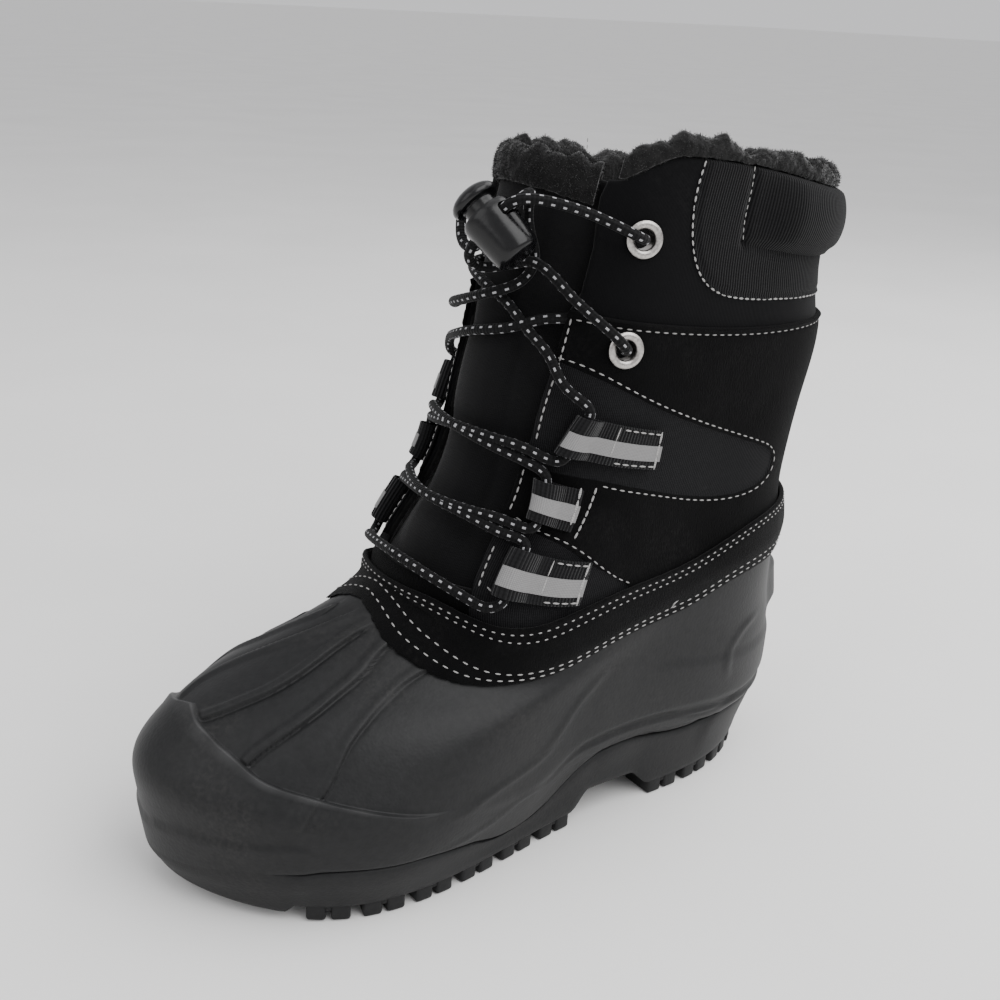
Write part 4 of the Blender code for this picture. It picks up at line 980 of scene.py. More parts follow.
def makeSoleBase():
    # side wall from the underside up to the groove below the shell, closed across the top and the bottom
    wall, rim = soleForm["wall"], soleForm["rimInset"]
    piece, flat, _, row = addGrid("sole base", soleForm["columns"], len(wall) + 1)
    s = flat[:, 0]
    share = np.array([0.0, *[place for place, _ in wall], 1.0])[row]
    inset = np.array([rim, *[depth for _, depth in wall], rim])[row]
    top = soleLine(s) - 0.15 * grooveDepth(s)
    # the wall leans out to meet the shell's own relief
    inset = np.where((share > 0.8) & (inset < 5), inset * grooveDepth(s), inset)
    flare = shellRelief(s, soleLine(s) + 1.5) * soft(share, 0.1, 0.75) * (inset < 5)
    points = insetPoint(s, share * top, inset - flare)
    low = insetPoint(s, np.zeros_like(s), np.where(share == 0, inset, 0.4))
    base = underside(low[:, 0])
    start = skin(s, np.zeros_like(s))[:, 2]
    drop = (base - start) * (1 - soft(share, 0.0, 0.9))
    points[:, 2] += drop
    points[share == 0, 2] = base[share == 0]
    shapeGrid(piece, s * 0.6, share * 0.02, points)
    # the two open ends, above and below, are filled with triangles
    bm = bmesh.new()
    bm.from_mesh(piece.data)
    for upper in (False, True):
        rim = [edge for edge in bm.edges if edge.is_boundary and (edge.verts[0].co.z > 0.0145) == upper]
        bmesh.ops.triangle_fill(bm, edges=rim, use_beauty=True)
    bmesh.ops.recalc_face_normals(bm, faces=bm.faces)
    bm.to_mesh(piece.data)
    bm.free()
    return piece


def treadArcs():
    s = np.linspace(0, 1, 1201)
    points = skin(s, np.zeros_like(s))
    return s, points, arcsOf(points)


def blockFrom(near, far):
    # a cube whose corners go to two matching outlines of four points
    bpy.ops.mesh.primitive_cube_add(size=2)
    block = bpy.context.object
    for corner in block.data.vertices:
        side = near if corner.co.x < 0 else far
        index = (0 if corner.co.y < 0 else 1) if corner.co.z < 0 else (3 if corner.co.y < 0 else 2)
        corner.co = Vector(toWorld(side[index]))
    return block


def roundBlock(block, offset, segments):
    pick(block)
    bpy.ops.object.mode_set(mode="EDIT")
    bpy.ops.mesh.select_all(action="SELECT")
    bpy.ops.mesh.normals_make_consistent(inside=False)
    bpy.ops.mesh.bevel(offset=offset / 1000, segments=segments, affect="EDGES")
    bpy.ops.object.mode_set(mode="OBJECT")
    return block


def lugPart(low, high, insets, lift):
    # a block between two places along the tread's edge, from its foot up into the sole
    s, _, arcs = treadArcs()
    outlines = []
    for inset in insets:
        outline = []
        for arc, up in ((low, False), (high, False), (high, True), (low, True)):
            point = insetPoint(float(np.interp(arc % arcs[-1], arcs, s)), 0.0, inset)
            point[2] = underside(point[0]) + soleForm["lugSunk"] if up else toeSpring(point[0]) + lift
            outline.append(point)
        outlines.append(outline)
    return roundBlock(blockFrom(*outlines), soleForm["lugRounding"], soleForm["lugSegments"])


def edgeLug(start):
    # two short blocks side by side, and a lower one that fills the notch between them
    length, depth = soleForm["lugLength"], soleForm["lugDepth"]
    middle, gap = start + length / 2, soleForm["lugGap"]
    blockInsets = (soleForm["lugInset"], depth)
    notchInsets = (soleForm["notchInset"], depth - soleForm["notchShallow"])
    return [lugPart(start, middle - gap, blockInsets, 0.0),
            lugPart(middle + gap, start + length, blockInsets, 0.0),
            lugPart(middle - 2 * gap, middle + 2 * gap, notchInsets, soleForm["lugNotch"])]


def middleLug(x, length, half, sweep):
    blocks = []
    for side in (-1, 1):
        near = ((x + sweep, side * half), (x + length + sweep, side * half))
        middle = ((x, -side * 0.2), (x + length, -side * 0.2))
        outlines = []
        for pair in (near, middle):
            low = [np.array((px, py, toeSpring(px))) for px, py in pair]
            high = [np.array((px, py, underside(px) + soleForm["lugSunk"])) for px, py in pair[::-1]]
            outlines.append(low + high)
        blocks.append(roundBlock(blockFrom(*outlines), soleForm["lugRounding"], soleForm["lugSegments"]))
    return blocks


def makeOutsole():
    form = soleForm
    s, points, arcs = treadArcs()
    half = len(s) // 2

    def arcAt(x, outerSide):
        part = slice(0, half) if outerSide else slice(half, None)
        order = np.argsort(points[part, 0])
        return float(np.interp(x, points[part, 0][order], arcs[part][order]))

    blocks = []
    for outerSide, turn in ((True, 1), (False, -1)):
        fore, heel = arcAt(form["archFront"], outerSide), arcAt(form["archBreast"], outerSide)
        for k in range(form["foreLugs"]):
            start = fore + turn * k * form["lugPitch"]
            blocks += edgeLug(start if outerSide else start - form["lugLength"])
        for k in range(form["heelLugs"]):
            start = heel - turn * k * form["lugPitch"]
            blocks += edgeLug(start - form["lugLength"] if outerSide else start)
    for lugs in form["middleLugs"]:
        for k, half in enumerate(lugs["halves"]):
            x = lugs["first"] + k * form["lugPitch"]
            blocks += middleLug(x, form["middleLength"], half, lugs["sweep"])
    piece = joined([makeSoleBase()] + blocks, "outsoleTread")
    finish(piece, finishes["sole"], slot="sole_rubber", smoothAngle=35)
    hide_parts("outsole")


makeShell()
makeOutsole()
print("winter boot: shell and outsole made")


# shaft: softshell body with the cuff and its foam pad, and the suede quarter over it
shaftForm = dict(
    foot=90.5, wall=3.4, quarterRise=1.2, padFoot=207.0, padRise=5.6, columns=330, rows=150,
    cuffEdge=((0.2880, 240.0), (0.2898, 229.5), (0.2907, 221.8), (0.2867, 211.1), (0.2792, 202.6),
              (0.2663, 195.2), (0.2473, 191.3), (0.2216, 190.2), (0.1817, 190.9), (0.0877, 192.6),
              (0.0, 193.2)),
    cuffSeam=((0.2336, 230.0), (0.2300, 223.6), (0.2282, 213.4), (0.2247, 207.5)),
    padSeam=((0.2247, 207.5), (0.190, 207.8), (0.1254, 208.8), (0.06, 209.2), (0.0, 209.2)),
    cuffRise=0.9, cuffGroove=dict(depth=0.45, place=1.4, width=0.8),
    seamPinch=dict(depth=1.1, width=1.3), padPinch=dict(depth=0.9, width=1.5),
    edgeRound=1.5, size=(290.0, 138.0), cornerDrop=8.0, slump=9.0)


def collarTop(s):
    # the top edge falls at both front corners and slumps on the inner side
    corner = shaftForm["cornerDrop"] * (1 - soft(fromToe(s), 0.105, 0.150)) ** 2
    turn = np.mod(s, 1.0)
    slump = shaftForm["slump"] * soft(turn, 0.55, 0.66) * (1 - soft(turn, 0.78, 0.95))
    return bootForm["collarLevel"] - corner - slump


def flapPlace(share, level):
    # s at a share of the way round the leg, from one edge of the front opening to the other
    half = throatHalf(level)
    return 0.5 + half + share * (1 - 2 * half)


def legRows(foot, topLine, aim):
    # rows of corners from a level up to a top line, between the edges of the front opening
    def place(u, w):
        level = foot + w * (topLine(flapPlace(u, aim)) - foot)
        return flapPlace(u, level), level

    return place


def sideOf(s):
    # the distance in s from the heel, the same on both sides
    return np.abs(np.mod(s + 0.5, 1.0) - 0.5)


def quarterTop(s):
    return smoothTable(quarterForm["top"], sideOf(s))


def lineGap(s, level, rows, count=160):
    # distance in mm on the surface from a line of (s, level), taken the same on both sides
    route = smoothRow(rows, count)
    points = skin(sideOf(s), level)
    return distanceTo(points, skin(route[:, 0], route[:, 1]))[0]


def cuffGap(s, level):
    # signed distance from the cuff's edge, more than 0 on the cuff
    edge = smoothRow(shaftForm["cuffEdge"], 200)
    outline = np.concatenate([edge, [[-0.05, 193.2], [-0.05, 245.0], [0.288, 245.0]]])
    side = sideOf(s)
    inside = insideOutline(side, level, outline)
    gap = lineGap(s, level, shaftForm["cuffEdge"])
    return np.where(inside, gap, -gap)


def padRelief(s, level):
    side = sideOf(s)
    top = collarTop(s)
    share = np.clip((level - shaftForm["padFoot"]) / (top + 0.5 - shaftForm["padFoot"]), 0, 1)
    back = 1 - soft(side, 0.170, 0.231)
    return shaftForm["padRise"] * back * np.sin(np.pi * share ** 0.9) ** 0.55


def shaftRelief(s, level):
    # the plain outer face, as the pieces that stand on it need it
    cuff = shaftForm["cuffRise"] * soft(fromToe(s), 0.21, 0.23) * soft(level, 189.5, 190.8)
    return np.where(level < quarterTop(s), shaftForm["quarterRise"], 0) + cuff + padRelief(s, level)


def makeShaftBody():
    form = shaftForm
    columns, rows = sheetSteps(form)
    place = legRows(form["foot"], collarTop, 150.0)

    def faces(s, level):
        gap = cuffGap(s, level)
        outer = form["cuffRise"] * soft(gap, -0.3, 0.5) + padRelief(s, level)
        near = level > 186
        relief = np.zeros_like(s)
        groove, seam, pinch = form["cuffGroove"], form["seamPinch"], form["padPinch"]
        relief[near] -= groove["depth"] * bell(gap[near] - groove["place"], groove["width"])
        seamGap = lineGap(s[near], level[near], form["cuffSeam"])
        padGap = lineGap(s[near], level[near], form["padSeam"])
        relief[near] -= (seam["depth"] * bell(seamGap, seam["width"])
                         + pinch["depth"] * bell(padGap, pinch["width"]))
        return outer + relief, np.full_like(outer, -form["wall"])

    def masks(s, level):
        return dict(cuffGap=cuffGap(s, level))

    return wrapSheet("shaftBody", columns, rows, place, faces, (form["edgeRound"],) * 2, form["size"],
                     masks=masks, skip=4)


quarterForm = dict(
    foot=92.0, rise=1.25, columns=330, rows=110, edgeRound=1.0, size=(290.0, 88.0),
    top=((0.0, 184.2), (0.103, 183.6), (0.204, 181.0), (0.2635, 180.0), (0.351, 180.2), (0.41, 181.2),
         (0.5, 181.2)),
    twillDrop=0.75, twillStep=(1.0, 1.9), seamDepth=0.22, seamWidth=0.7,
    topRoll=dict(rise=0.7, place=0.8, width=0.9), topGroove=dict(rise=-0.3, place=2.3, width=0.6),
    wing=((0.470, 173.0), (0.3944, 167.6), (0.3328, 162.5), (0.2624, 153.5), (0.1981, 144.8), (0.1507, 138.9),
          (0.1290, 134.8), (0.1195, 130.0), (0.1205, 124.0), (0.1330, 120.0), (0.1569, 118.9),
          (0.2087, 122.8), (0.2641, 128.9), (0.3333, 134.3), (0.3851, 135.6), (0.470, 136.5)),
    panel=((0.470, 125.6), (0.4294, 124.6), (0.3953, 122.5), (0.3497, 119.5), (0.3031, 113.3),
           (0.2522, 100.8), (0.2400, 92.0)))


def twillGap(s, level):
    # signed distance from the outlines of the wing insert and of the front panel, more than 0 on them
    side = sideOf(s)
    wing = smoothRow(quarterForm["wing"], 260)
    panel = smoothRow(quarterForm["panel"], 120)
    found = []
    for line, outline in ((wing, wing), (panel, np.concatenate([panel, [[0.470, 90.0]]]))):
        inside = insideOutline(side, level, outline)
        gap = distanceTo(skin(side, level), skin(line[:, 0], line[:, 1]))[0]
        found.append(np.where(inside, gap, -gap))
    return np.maximum(*found)


def quarterFace(s, level):
    # the suede's outer face: its rolled top edge, the sewn grooves and the step down to the twill
    form = quarterForm
    gap = twillGap(s, level)
    topGap = quarterTop(s) - level
    outer = form["rise"] - form["twillDrop"] * soft(gap, *form["twillStep"])
    outer = outer - form["seamDepth"] * bell(gap, form["seamWidth"])
    for fold in (form["topRoll"], form["topGroove"]):
        outer = outer + fold["rise"] * bell(topGap - fold["place"], fold["width"])
    return outer


def makeQuarter():
    form = quarterForm
    columns, rows = sheetSteps(form, (False, True))
    place = legRows(form["foot"], quarterTop, 178.0)

    def faces(s, level):
        return quarterFace(s, level), np.full_like(s, -0.4)

    def masks(s, level):
        return dict(twillGap=twillGap(s, level))

    return wrapSheet("suedeQuarter", columns, rows, place, faces, (form["edgeRound"],) * 2, form["size"],
                     roundEnds=((True, True), (False, True)), masks=masks, skip=3)


def lineInside(piece):
    # gives the inner faces of a sheet its second finish
    values = np.empty(len(piece.data.vertices), np.float32)
    piece.data.attributes["lining"].data.foreach_get("value", values)
    for face in piece.data.polygons:
        if values[list(face.vertices)].mean() > 0.6:
            face.material_index = 1


bridgeForm = dict(span=(0.39, 0.61), columns=90, rows=14, foot=90.5, height=15.5, outer=0.35, inner=-3.0,
                  edgeRound=0.8, length=16.0)


def makeFrontBridge():
    # the panel that closes the foot of the front opening
    form = bridgeForm
    columns = np.linspace(*form["span"], form["columns"])
    rows = steps(form["rows"], form["edgeRound"], form["length"])

    def place(u, w):
        return u, form["foot"] + form["height"] * w

    def faces(s, level):
        return np.full_like(s, form["outer"]), np.full_like(s, form["inner"])

    piece = wrapSheet("frontBridge", columns, rows, place, faces, (0.0, form["edgeRound"]),
                      (1.0, form["length"]))
    finish(piece, finishes["suede"], slot="suede")
    return piece


eyeletForm = dict(
    places=((0.3363, 204.3), (0.3369, 171.9)), hole=4.3, sides=64,
    profile=((3.25, -3.6), (3.9, -3.6), (3.9, 0.35), (5.65, 0.35), (5.88, 0.55), (5.9, 0.85), (5.6, 1.2),
             (5.1, 1.4), (4.5, 1.42), (3.9, 1.3), (3.45, 1.0), (3.25, 0.55)))


def standing(point, axis):
    # where a turned piece in mm stands: its foot at a point and its own axis this way
    side = unit(np.cross((0.0, 0.0, 1.0), axis))
    turn = Matrix([list(row) for row in np.stack([side, np.cross(axis, side), axis], axis=1)]).to_4x4()
    return Matrix.Translation(Vector(toWorld(point))) @ turn @ Matrix.Scale(0.001, 4)


def onLeg(s, level):
    s, level = np.array([s]), np.array([level])
    return standing(raised(s, level, shaftRelief(s, level))[0], outward(s, level)[0])


def spun(name, profile, sides, place, closed=True):
    # turns a profile of (radius, height) round its own axis with the spin operator
    count = len(profile)
    pairs = [(i, i + 1) for i in range(count - 1)] + ([(count - 1, 0)] if closed else [])
    piece = addMesh(name, [(radius, 0.0, height) for radius, height in profile], pairs, [])
    pick(piece)
    bpy.ops.object.mode_set(mode="EDIT")
    bpy.ops.mesh.select_all(action="SELECT")
    bpy.ops.mesh.spin(steps=sides, angle=2 * math.pi, center=(0, 0, 0), axis=(0, 0, 1))
    bpy.ops.mesh.select_all(action="SELECT")
    bpy.ops.mesh.remove_doubles(threshold=0.001)
    bpy.ops.mesh.normals_make_consistent(inside=False)
    bpy.ops.object.mode_set(mode="OBJECT")
    piece.data.transform(place)
    return piece


def cutEyeletHoles(piece):
    for s, level in eyeletForm["places"]:
        for side in (s, 1 - s):
            bpy.ops.object.select_all(action="DESELECT")
            bpy.ops.mesh.primitive_cylinder_add(vertices=48, radius=eyeletForm["hole"], depth=16)
            cutter = bpy.context.object
            cutter.data.transform(onLeg(side, level))
            applyModifier(piece, "BOOLEAN", object=cutter, operation="DIFFERENCE", solver="EXACT")
            bpy.data.objects.remove(cutter)


def makeShaft():
    body, quarter, bridge = makeShaftBody(), makeQuarter(), makeFrontBridge()
    finish(body, finishes["leg"], finishes["lining"], slot="twill")
    lineInside(body)
    finish(quarter, finishes["quarter"], slot="suede")
    for piece in (body, quarter):
        cutEyeletHoles(piece)
    for piece in (body, quarter, bridge):
        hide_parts("shaft")


makeShaft()
print("winter boot: shaft made")


# suede band round the top of the shell
bandForm = dict(
    columns=600, rows=26, lift=0.45, outer=2.25, toeThin=0.85, toeLift=0.35, toeSpan=(0.015, 0.075),
    groovePlace=2.9, grooveDepth=0.28, grooveWidth=1.6, swell=0.35, footThin=0.75, footWidth=1.7,
    edgeRound=1.1, length=21.0, rough=((61, 0.0, 0.06), (113, 1.0, 0.05), (151, 2.0, 0.04)),
    foot=((0.0, 80.5), (0.084, 80.8), (0.142, 81.4), (0.165, 80.4), (0.190, 78.8), (0.2123, 79.6),
          (0.2508, 82.4), (0.2854, 83.2), (0.3164, 82.3), (0.3474, 81.0), (0.3696, 79.4), (0.3922, 78.1),
          (0.4317, 77.9), (0.4507, 78.2), (0.4795, 79.8), (0.5, 80.6)),
    head=((0.0, 102.6), (0.07, 102.8), (0.1312, 103.2), (0.1573, 101.6), (0.1888, 99.7), (0.2154, 99.9),
          (0.2535, 102.0), (0.2858, 102.4), (0.316, 101.3), (0.3395, 99.9), (0.3745, 98.5), (0.402, 98.6),
          (0.4223, 99.6), (0.4525, 100.8), (0.4715, 100.4), (0.5, 100.2)))


def bandEdge(s, which):
    return smoothTable(bandForm[which], sideOf(s))


def bandBase(s, level):
    # what lies under the band: the shell's relief low down and the quarter higher up
    share = soft(level, 82, 91)
    return shellRelief(s, level) * (1 - share) + quarterForm["rise"] * share


def bandFace(s, level):
    # the suede's outer face: two sewn grooves, a soft middle and a thin lower edge, flatter over the toe
    form = bandForm
    foot, head = bandEdge(s, "foot"), bandEdge(s, "head")
    thinner = form["toeThin"] * (1 - soft(fromToe(s), *form["toeSpan"]))
    outer = bandBase(s, level) + form["outer"] - thinner
    for edge in (foot + form["groovePlace"], head - form["groovePlace"]):
        outer = outer - form["grooveDepth"] * bell(level - edge, form["grooveWidth"])
    outer = outer + form["swell"] * np.sin(np.pi * np.clip((level - foot) / (head - foot), 0, 1))
    return outer - form["footThin"] * bell(level - foot, form["footWidth"])


def makeBand():
    form = bandForm
    columns = np.linspace(0, 1, form["columns"] + 1)
    rows = steps(form["rows"], form["edgeRound"], form["length"])

    def place(u, w):
        foot, head = bandEdge(u, "foot"), bandEdge(u, "head")
        rough = sum(size * np.sin(2 * np.pi * rate * u + turn) for rate, turn, size in form["rough"])
        return u, foot + rough + w * (head - foot - rough * 0.5)

    def faces(s, level):
        lift = form["lift"] - form["toeLift"] * (1 - soft(fromToe(s), *form["toeSpan"]))
        return bandFace(s, level), bandBase(s, level) + lift

    piece = wrapSheet("suedeBand", columns, rows, place, faces, (0.0, form["edgeRound"]),
                      (1.0, form["length"]), skip=3)
    finish(piece, finishes["suede"], slot="suede")
    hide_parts("suede_band")


# sewing: one stitch is modelled once and copied along each row
stitchForm = dict(sides=8, rings=6, width=0.5, thick=0.42, rise=0.2)


def stitchTemplate():
    bpy.ops.object.select_all(action="DESELECT")
    bpy.ops.mesh.primitive_uv_sphere_add(segments=stitchForm["sides"], ring_count=stitchForm["rings"],
                                         radius=1)
    ball = bpy.context.object
    points = np.array([corner.co[:] for corner in ball.data.vertices])[:, [2, 0, 1]]
    faces = [tuple(face.vertices) for face in ball.data.polygons]
    bpy.data.objects.remove(ball)
    return points, faces


stitchShape = stitchTemplate()


def placedCopies(name, shape, places):
    # one mesh of many copies: each place is (middle, three axes already scaled), in mm
    points, faces = shape
    count = len(points)
    middles = np.array([place[0] for place in places])
    axes = np.array([place[1] for place in places])
    corners = middles[:, None] + np.einsum("vk,nkx->nvx", points, axes)
    allFaces = [tuple(i + n * count for i in face) for n in range(len(places)) for face in faces]
    piece = addMesh(name, toWorld(corners.reshape(-1, 3)).tolist(), [], allFaces)
    piece.data.uv_layers.new(name="UVMap")
    setUv(piece, np.tile(np.stack([points[:, 0] * 0.0015, np.arctan2(points[:, 2], points[:, 1]) / 6.283], 1),
                         (len(places), 1)))
    return piece


def stitchRow(route, surface, pitch, length, width=None, start=0.0):
    # places for stitches along a smooth route of (s, level) on surface(s, level) in mm
    width = width or stitchForm["width"]
    fine = smoothRow(route, 900)
    points = raised(fine[:, 0], fine[:, 1], surface(fine[:, 0], fine[:, 1]))
    arcs = arcsOf(points)
    at = np.arange(start + length / 2, arcs[-1] - length / 2, pitch)
    if len(at) == 0:
        return []
    middle = alongLine(at, arcs, points)
    way = unit(alongLine(at + length / 2, arcs, points) - alongLine(at - length / 2, arcs, points))
    out = outward(*alongLine(at, arcs, fine).T)
    out = unit(out - (out * way).sum(1, keepdims=True) * way)
    side = np.cross(out, way)
    made = []
    for i in range(len(at)):
        axes = np.stack([way[i] * length / 2, side[i] * width / 2, out[i] * width * stitchForm["thick"]])
        made.append((middle[i] + out[i] * stitchForm["rise"] * 0.5, axes))
    return made


def bothSides(route):
    return (route, tuple((1.0 - row[0], row[1]) for row in route))


# two rows along each edge of the band, then loose thread tails where the lower rows end on the outer side
bandSewing = dict(
    rows=(("head", (-1.7, -3.9), 3.1, 1.3), ("foot", (1.8, 4.3), 3.7, 1.95)),
    tailPlace=0.2163, tailWidth=0.32,
    tails=((85.4, 1.4, 3.4), (84.6, -0.9, 2.8), (86.0, 0.5, 2.4), (84.2, 1.9, 2.2)))


def makeBandStitches():
    around = np.linspace(0.0, 1.0, 121)
    rows = []
    for which, gaps, pitch, length in bandSewing["rows"]:
        for k, gap in enumerate(gaps):
            level = bandEdge(around, which) + gap
            rows += stitchRow(tuple(zip(around, level)), bandFace, pitch, length, start=k * pitch / 2)
    start = bandSewing["tailPlace"]
    for level, lean, length in bandSewing["tails"]:
        route = ((start, level), (start - 0.0045 * length / 2.4, level + lean))
        shown = 0.95 * min(length, np.hypot(lean, 2.0 * length / 2.4))
        rows += stitchRow(route, bandFace, 9.0, shown, bandSewing["tailWidth"])
    piece = placedCopies("bandStitches", stitchShape, rows)
    finish(piece, finishes["thread"], slot="suede")


def throatRow(low, high, inward=0.0052, count=9):
    levels = np.linspace(low, high, count)
    return tuple((0.5 - throatHalf(level) - inward, level) for level in levels)


# rows on the quarter, outer side: route, pitch, length and width of a stitch
shaftStitches = (
    (tuple((s, quarterTop(s) - 2.3) for s in np.linspace(0.0, 0.398, 60)), 3.3, 1.9, None),
    (((0.4040, 167.9), *quarterForm["wing"][1:14]), 3.5, 2.1, None),
    (((0.4080, 123.6), *quarterForm["panel"][2:5], (0.2560, 102.5)), 3.5, 2.1, None),
    (((0.3346, 133.6), (0.3370, 128.0), (0.3408, 120.0)), 2.6, 2.3, 0.8),
    (throatRow(145.0, 180.0), 2.9, 2.2, 0.6),
    (throatRow(125.0, 137.0), 2.9, 2.2, 0.6),
    (throatRow(107.0, 117.0), 2.9, 2.2, 0.6),
    (((0.4045, 107.3), (0.398, 106.2), (0.388, 105.6)), 2.9, 2.0, 0.6))


def makeShaftStitches():
    rows = []
    for route, pitch, length, width in shaftStitches:
        for side in bothSides(route):
            rows += stitchRow(side, quarterFace, pitch, length, width)
    quarter = placedCopies("quarterStitches", stitchShape, rows)
    finish(quarter, finishes["thread"], slot="suede")

    def cuffSurface(s, level):
        return 0.25 + 0 * s

    def padSurface(s, level):
        return shaftForm["cuffRise"] + padRelief(s, level) - 0.9

    rows = []
    for route in bothSides(shaftForm["cuffEdge"][1:]):
        rows += stitchRow(route, cuffSurface, 2.7, 2.0, 0.7)
    for route in bothSides(shaftForm["cuffSeam"]):
        rows += stitchRow(route, padSurface, 2.4, 1.6, 0.38)
    cuff = placedCopies("cuffStitches", stitchShape, rows)
    finish(cuff, finishes["thread"], slot="twill")


# tongue
tongueForm = dict(foot=97.0, head=226.0, spread=0.030, tucked=-4.5, edge=2.2, middle=5.0, round=7.0,
                  columns=110, rows=150, throatFoot=106.0, edgeRound=1.6, size=(62.0, 129.0),
                  dents=(142.4, 122.0, 108.0, 170.0, 182.6), dentDepth=0.55, dentWidth=3.2, dentLean=14,
                  seamPlace=0.052, seamDepth=0.5, seamWidth=0.006)


def tongueHalf(level):
    return throatHalf(np.minimum(level, 205)) + tongueForm["spread"]


def tongueFace(s, level):
    form = tongueForm
    half = throatHalf(level)
    centre = 1 - soft(fromToe(s), 0.2 * half, half - 0.016)
    free = soft(level, form["throatFoot"] + 1, form["throatFoot"] + 12)
    out = -1.2 - 0.8 * soft(level, 185, 200)
    return form["tucked"] + (out - form["tucked"]) * centre * free


def makeTongue():
    form = tongueForm
    columns, rows = sheetSteps(form)

    def place(u, w):
        share = 2 * u - 1
        row = form["foot"] + w * (form["head"] - form["foot"])
        return 0.5 + share * tongueHalf(row), row - form["round"] * soft(row, 180, form["head"]) * share ** 2

    def faces(s, level):
        face = tongueFace(s, level)
        share = np.clip((s - 0.5) / tongueHalf(level), -1, 1)
        thick = form["edge"] + (form["middle"] - form["edge"]) * (1 - share ** 2)
        puff = np.zeros_like(s)
        for dent in form["dents"]:
            gap = level - dent - form["dentLean"] * (s - 0.5)
            puff -= form["dentDepth"] * bell(gap, form["dentWidth"])
        seam = bell(np.abs(s - 0.5) - form["seamPlace"], form["seamWidth"])
        puff -= form["seamDepth"] * seam * soft(level, 112, 122)
        puff *= 1 - soft(np.abs(share), 0.55, 0.8)
        return face + puff, face - thick

    piece = wrapSheet("tonguePad", columns, rows, place, faces, (form["edgeRound"],) * 2, form["size"],
                      skip=3)
    finish(piece, finishes["tongue"], slot="tongue_fabric")
    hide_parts("tongue")


# pile on the collar and on the tongue
furForm = dict(columns=420, outline=44, collarSpan=(0.014, 0.986), tongueColumns=120,
               tongueSpan=(-0.72, 0.72), collarBlades=34000, tongueBlades=13500, length=(0.5, 1.2),
               width=0.15, lean=0.65, sunk=0.6, lump=0.5, seed=11)


def pile(s, seed):
    # how uneven the fur's top is along its edge
    waves = ((23.0, 0.75), (41.0, 0.4), (67.0, 0.12))
    return sum(size * np.sin(2 * np.pi * rate * s + seed * (i + 1)) for i, (rate, size) in enumerate(waves))


def spreadRows(rows, share):
    # one (height, level) for every row of the outline and every share
    return np.stack([np.stack([np.broadcast_to(part, share.shape) for part in row], -1) for row in rows], 0)


def collarOutline(share):
    # the pile's outline on the collar's edge, as in the solid part, for an array of shares
    top = collarTop(flapPlace(share, 150.0))
    s = flapPlace(share, top)
    side = sideOf(s)
    thin = 1 - 0.55 * bell(side - 0.232, 0.016)
    corner = 3.2 * bell(side - 0.372, 0.020)
    lift = pile(s, 1.0) * thin
    free = soft(fromToe(s), 0.152, 0.190)
    hang = -shaftForm["wall"] - 0.2 - 0.5 * soft(fromToe(s), 0.142, 0.150)
    inside = 0.06 + 0.94 * free

    def inward(offset, level):
        return hang + (offset - hang) * inside, top + 1.6 + (level - top - 1.2) * inside

    rows = [inward(hang, 209), inward(hang, 218), (hang, top + 1.2), (-0.6, top + 0.5), (0.5, top + 1.9),
            (0.2, top + 4.0 * thin + 0.6 * (lift + corner)), (-1.0, top + 5.8 * thin + lift + corner),
            (-3.4, top + 6.8 * thin + lift + corner),
            (hang - 2.8 * inside, top + 5.2 * thin + 0.7 * (lift + corner)), inward(-8.8, top + 1.2),
            inward(-9.4 - 0.4 * lift, top - 6), inward(-8.4, 213), inward(-5.5, 209)]
    return s, spreadRows(rows, share)


def tongueOutline(share):
    s = 0.5 + share * tongueHalf(tongueForm["head"])
    top = tongueForm["head"] - tongueForm["round"] * share ** 2
    lift = pile(s, 2.3)
    thick = tongueForm["edge"] + (tongueForm["middle"] - tongueForm["edge"]) * (1 - share ** 2)

    def face(level):
        return tongueFace(s, level) + 0.5

    def back(level):
        return tongueFace(s, level) - thick - 0.5

    middle = face(top) / 2 + back(top) / 2
    rows = [(face(top - 9), top - 9), (face(top - 5), top - 5), (face(top), top + 0.5),
            (back(top), top + 0.5), (back(top - 6), top - 6), (back(top - 13), top - 13),
            (back(top - 12) - 2.6, top - 12), (back(top - 5) - 3.4, top - 5), (back(top) - 2.4, top + 2),
            (middle, top + 5.4 + lift), (face(top) + 1.8, top + 3.4 + lift), (face(top - 4) + 2.4, top - 4),
            (face(top - 8.6) + 1.5, top - 8.6)]
    return s, spreadRows(rows, share)


def makePile(name, outline, shares, blades, seed):
    s, values = outline(shares)
    bends = closedBends(values.reshape(len(values), -1)).reshape(values.shape)
    turn = np.arange(furForm["outline"]) / furForm["outline"] * len(values)
    i = turn.astype(int)
    j = (i + 1) % len(values)
    fine = cubicMix(values[i], values[j], bends[i], bends[j], (turn - i)[:, None, None])
    along = len(shares)
    piece, _, column, row = addGrid(name, furForm["outline"], along - 1)
    column = column % furForm["outline"]
    offset, level = fine[column, row, 0], fine[column, row, 1]
    points = carried(s[row], level, offset)
    centre = np.array([carried(s[k:k + 1], fine[:, k, 1].mean(keepdims=True),
                               fine[:, k, 0].mean(keepdims=True))[0] for k in range(along)])
    away = unit(points - centre[row])
    lump = np.zeros(len(points))
    for rate, size in ((0.55, 0.5), (1.1, 0.4), (1.7, 0.15)):
        lump += size * (np.sin(rate * points[:, 0] + 1.3) * np.sin(rate * points[:, 1] * 1.1 + seed)
                        * np.cos(rate * points[:, 2] * 0.9 + 0.5 * seed)
                        + 0.5 * np.sin(rate * 1.7 * (points[:, 0] + points[:, 2]) + 2.0))
    points = points + away * (lump * furForm["lump"])[:, None]
    shapeGrid(piece, s[row], level / 1000, points, openEnds=True)
    finish(piece, finishes["fur"], slot="fur", smoothAngle=60)
    addBlades(piece, name + "Strands", blades, seed)
    return piece


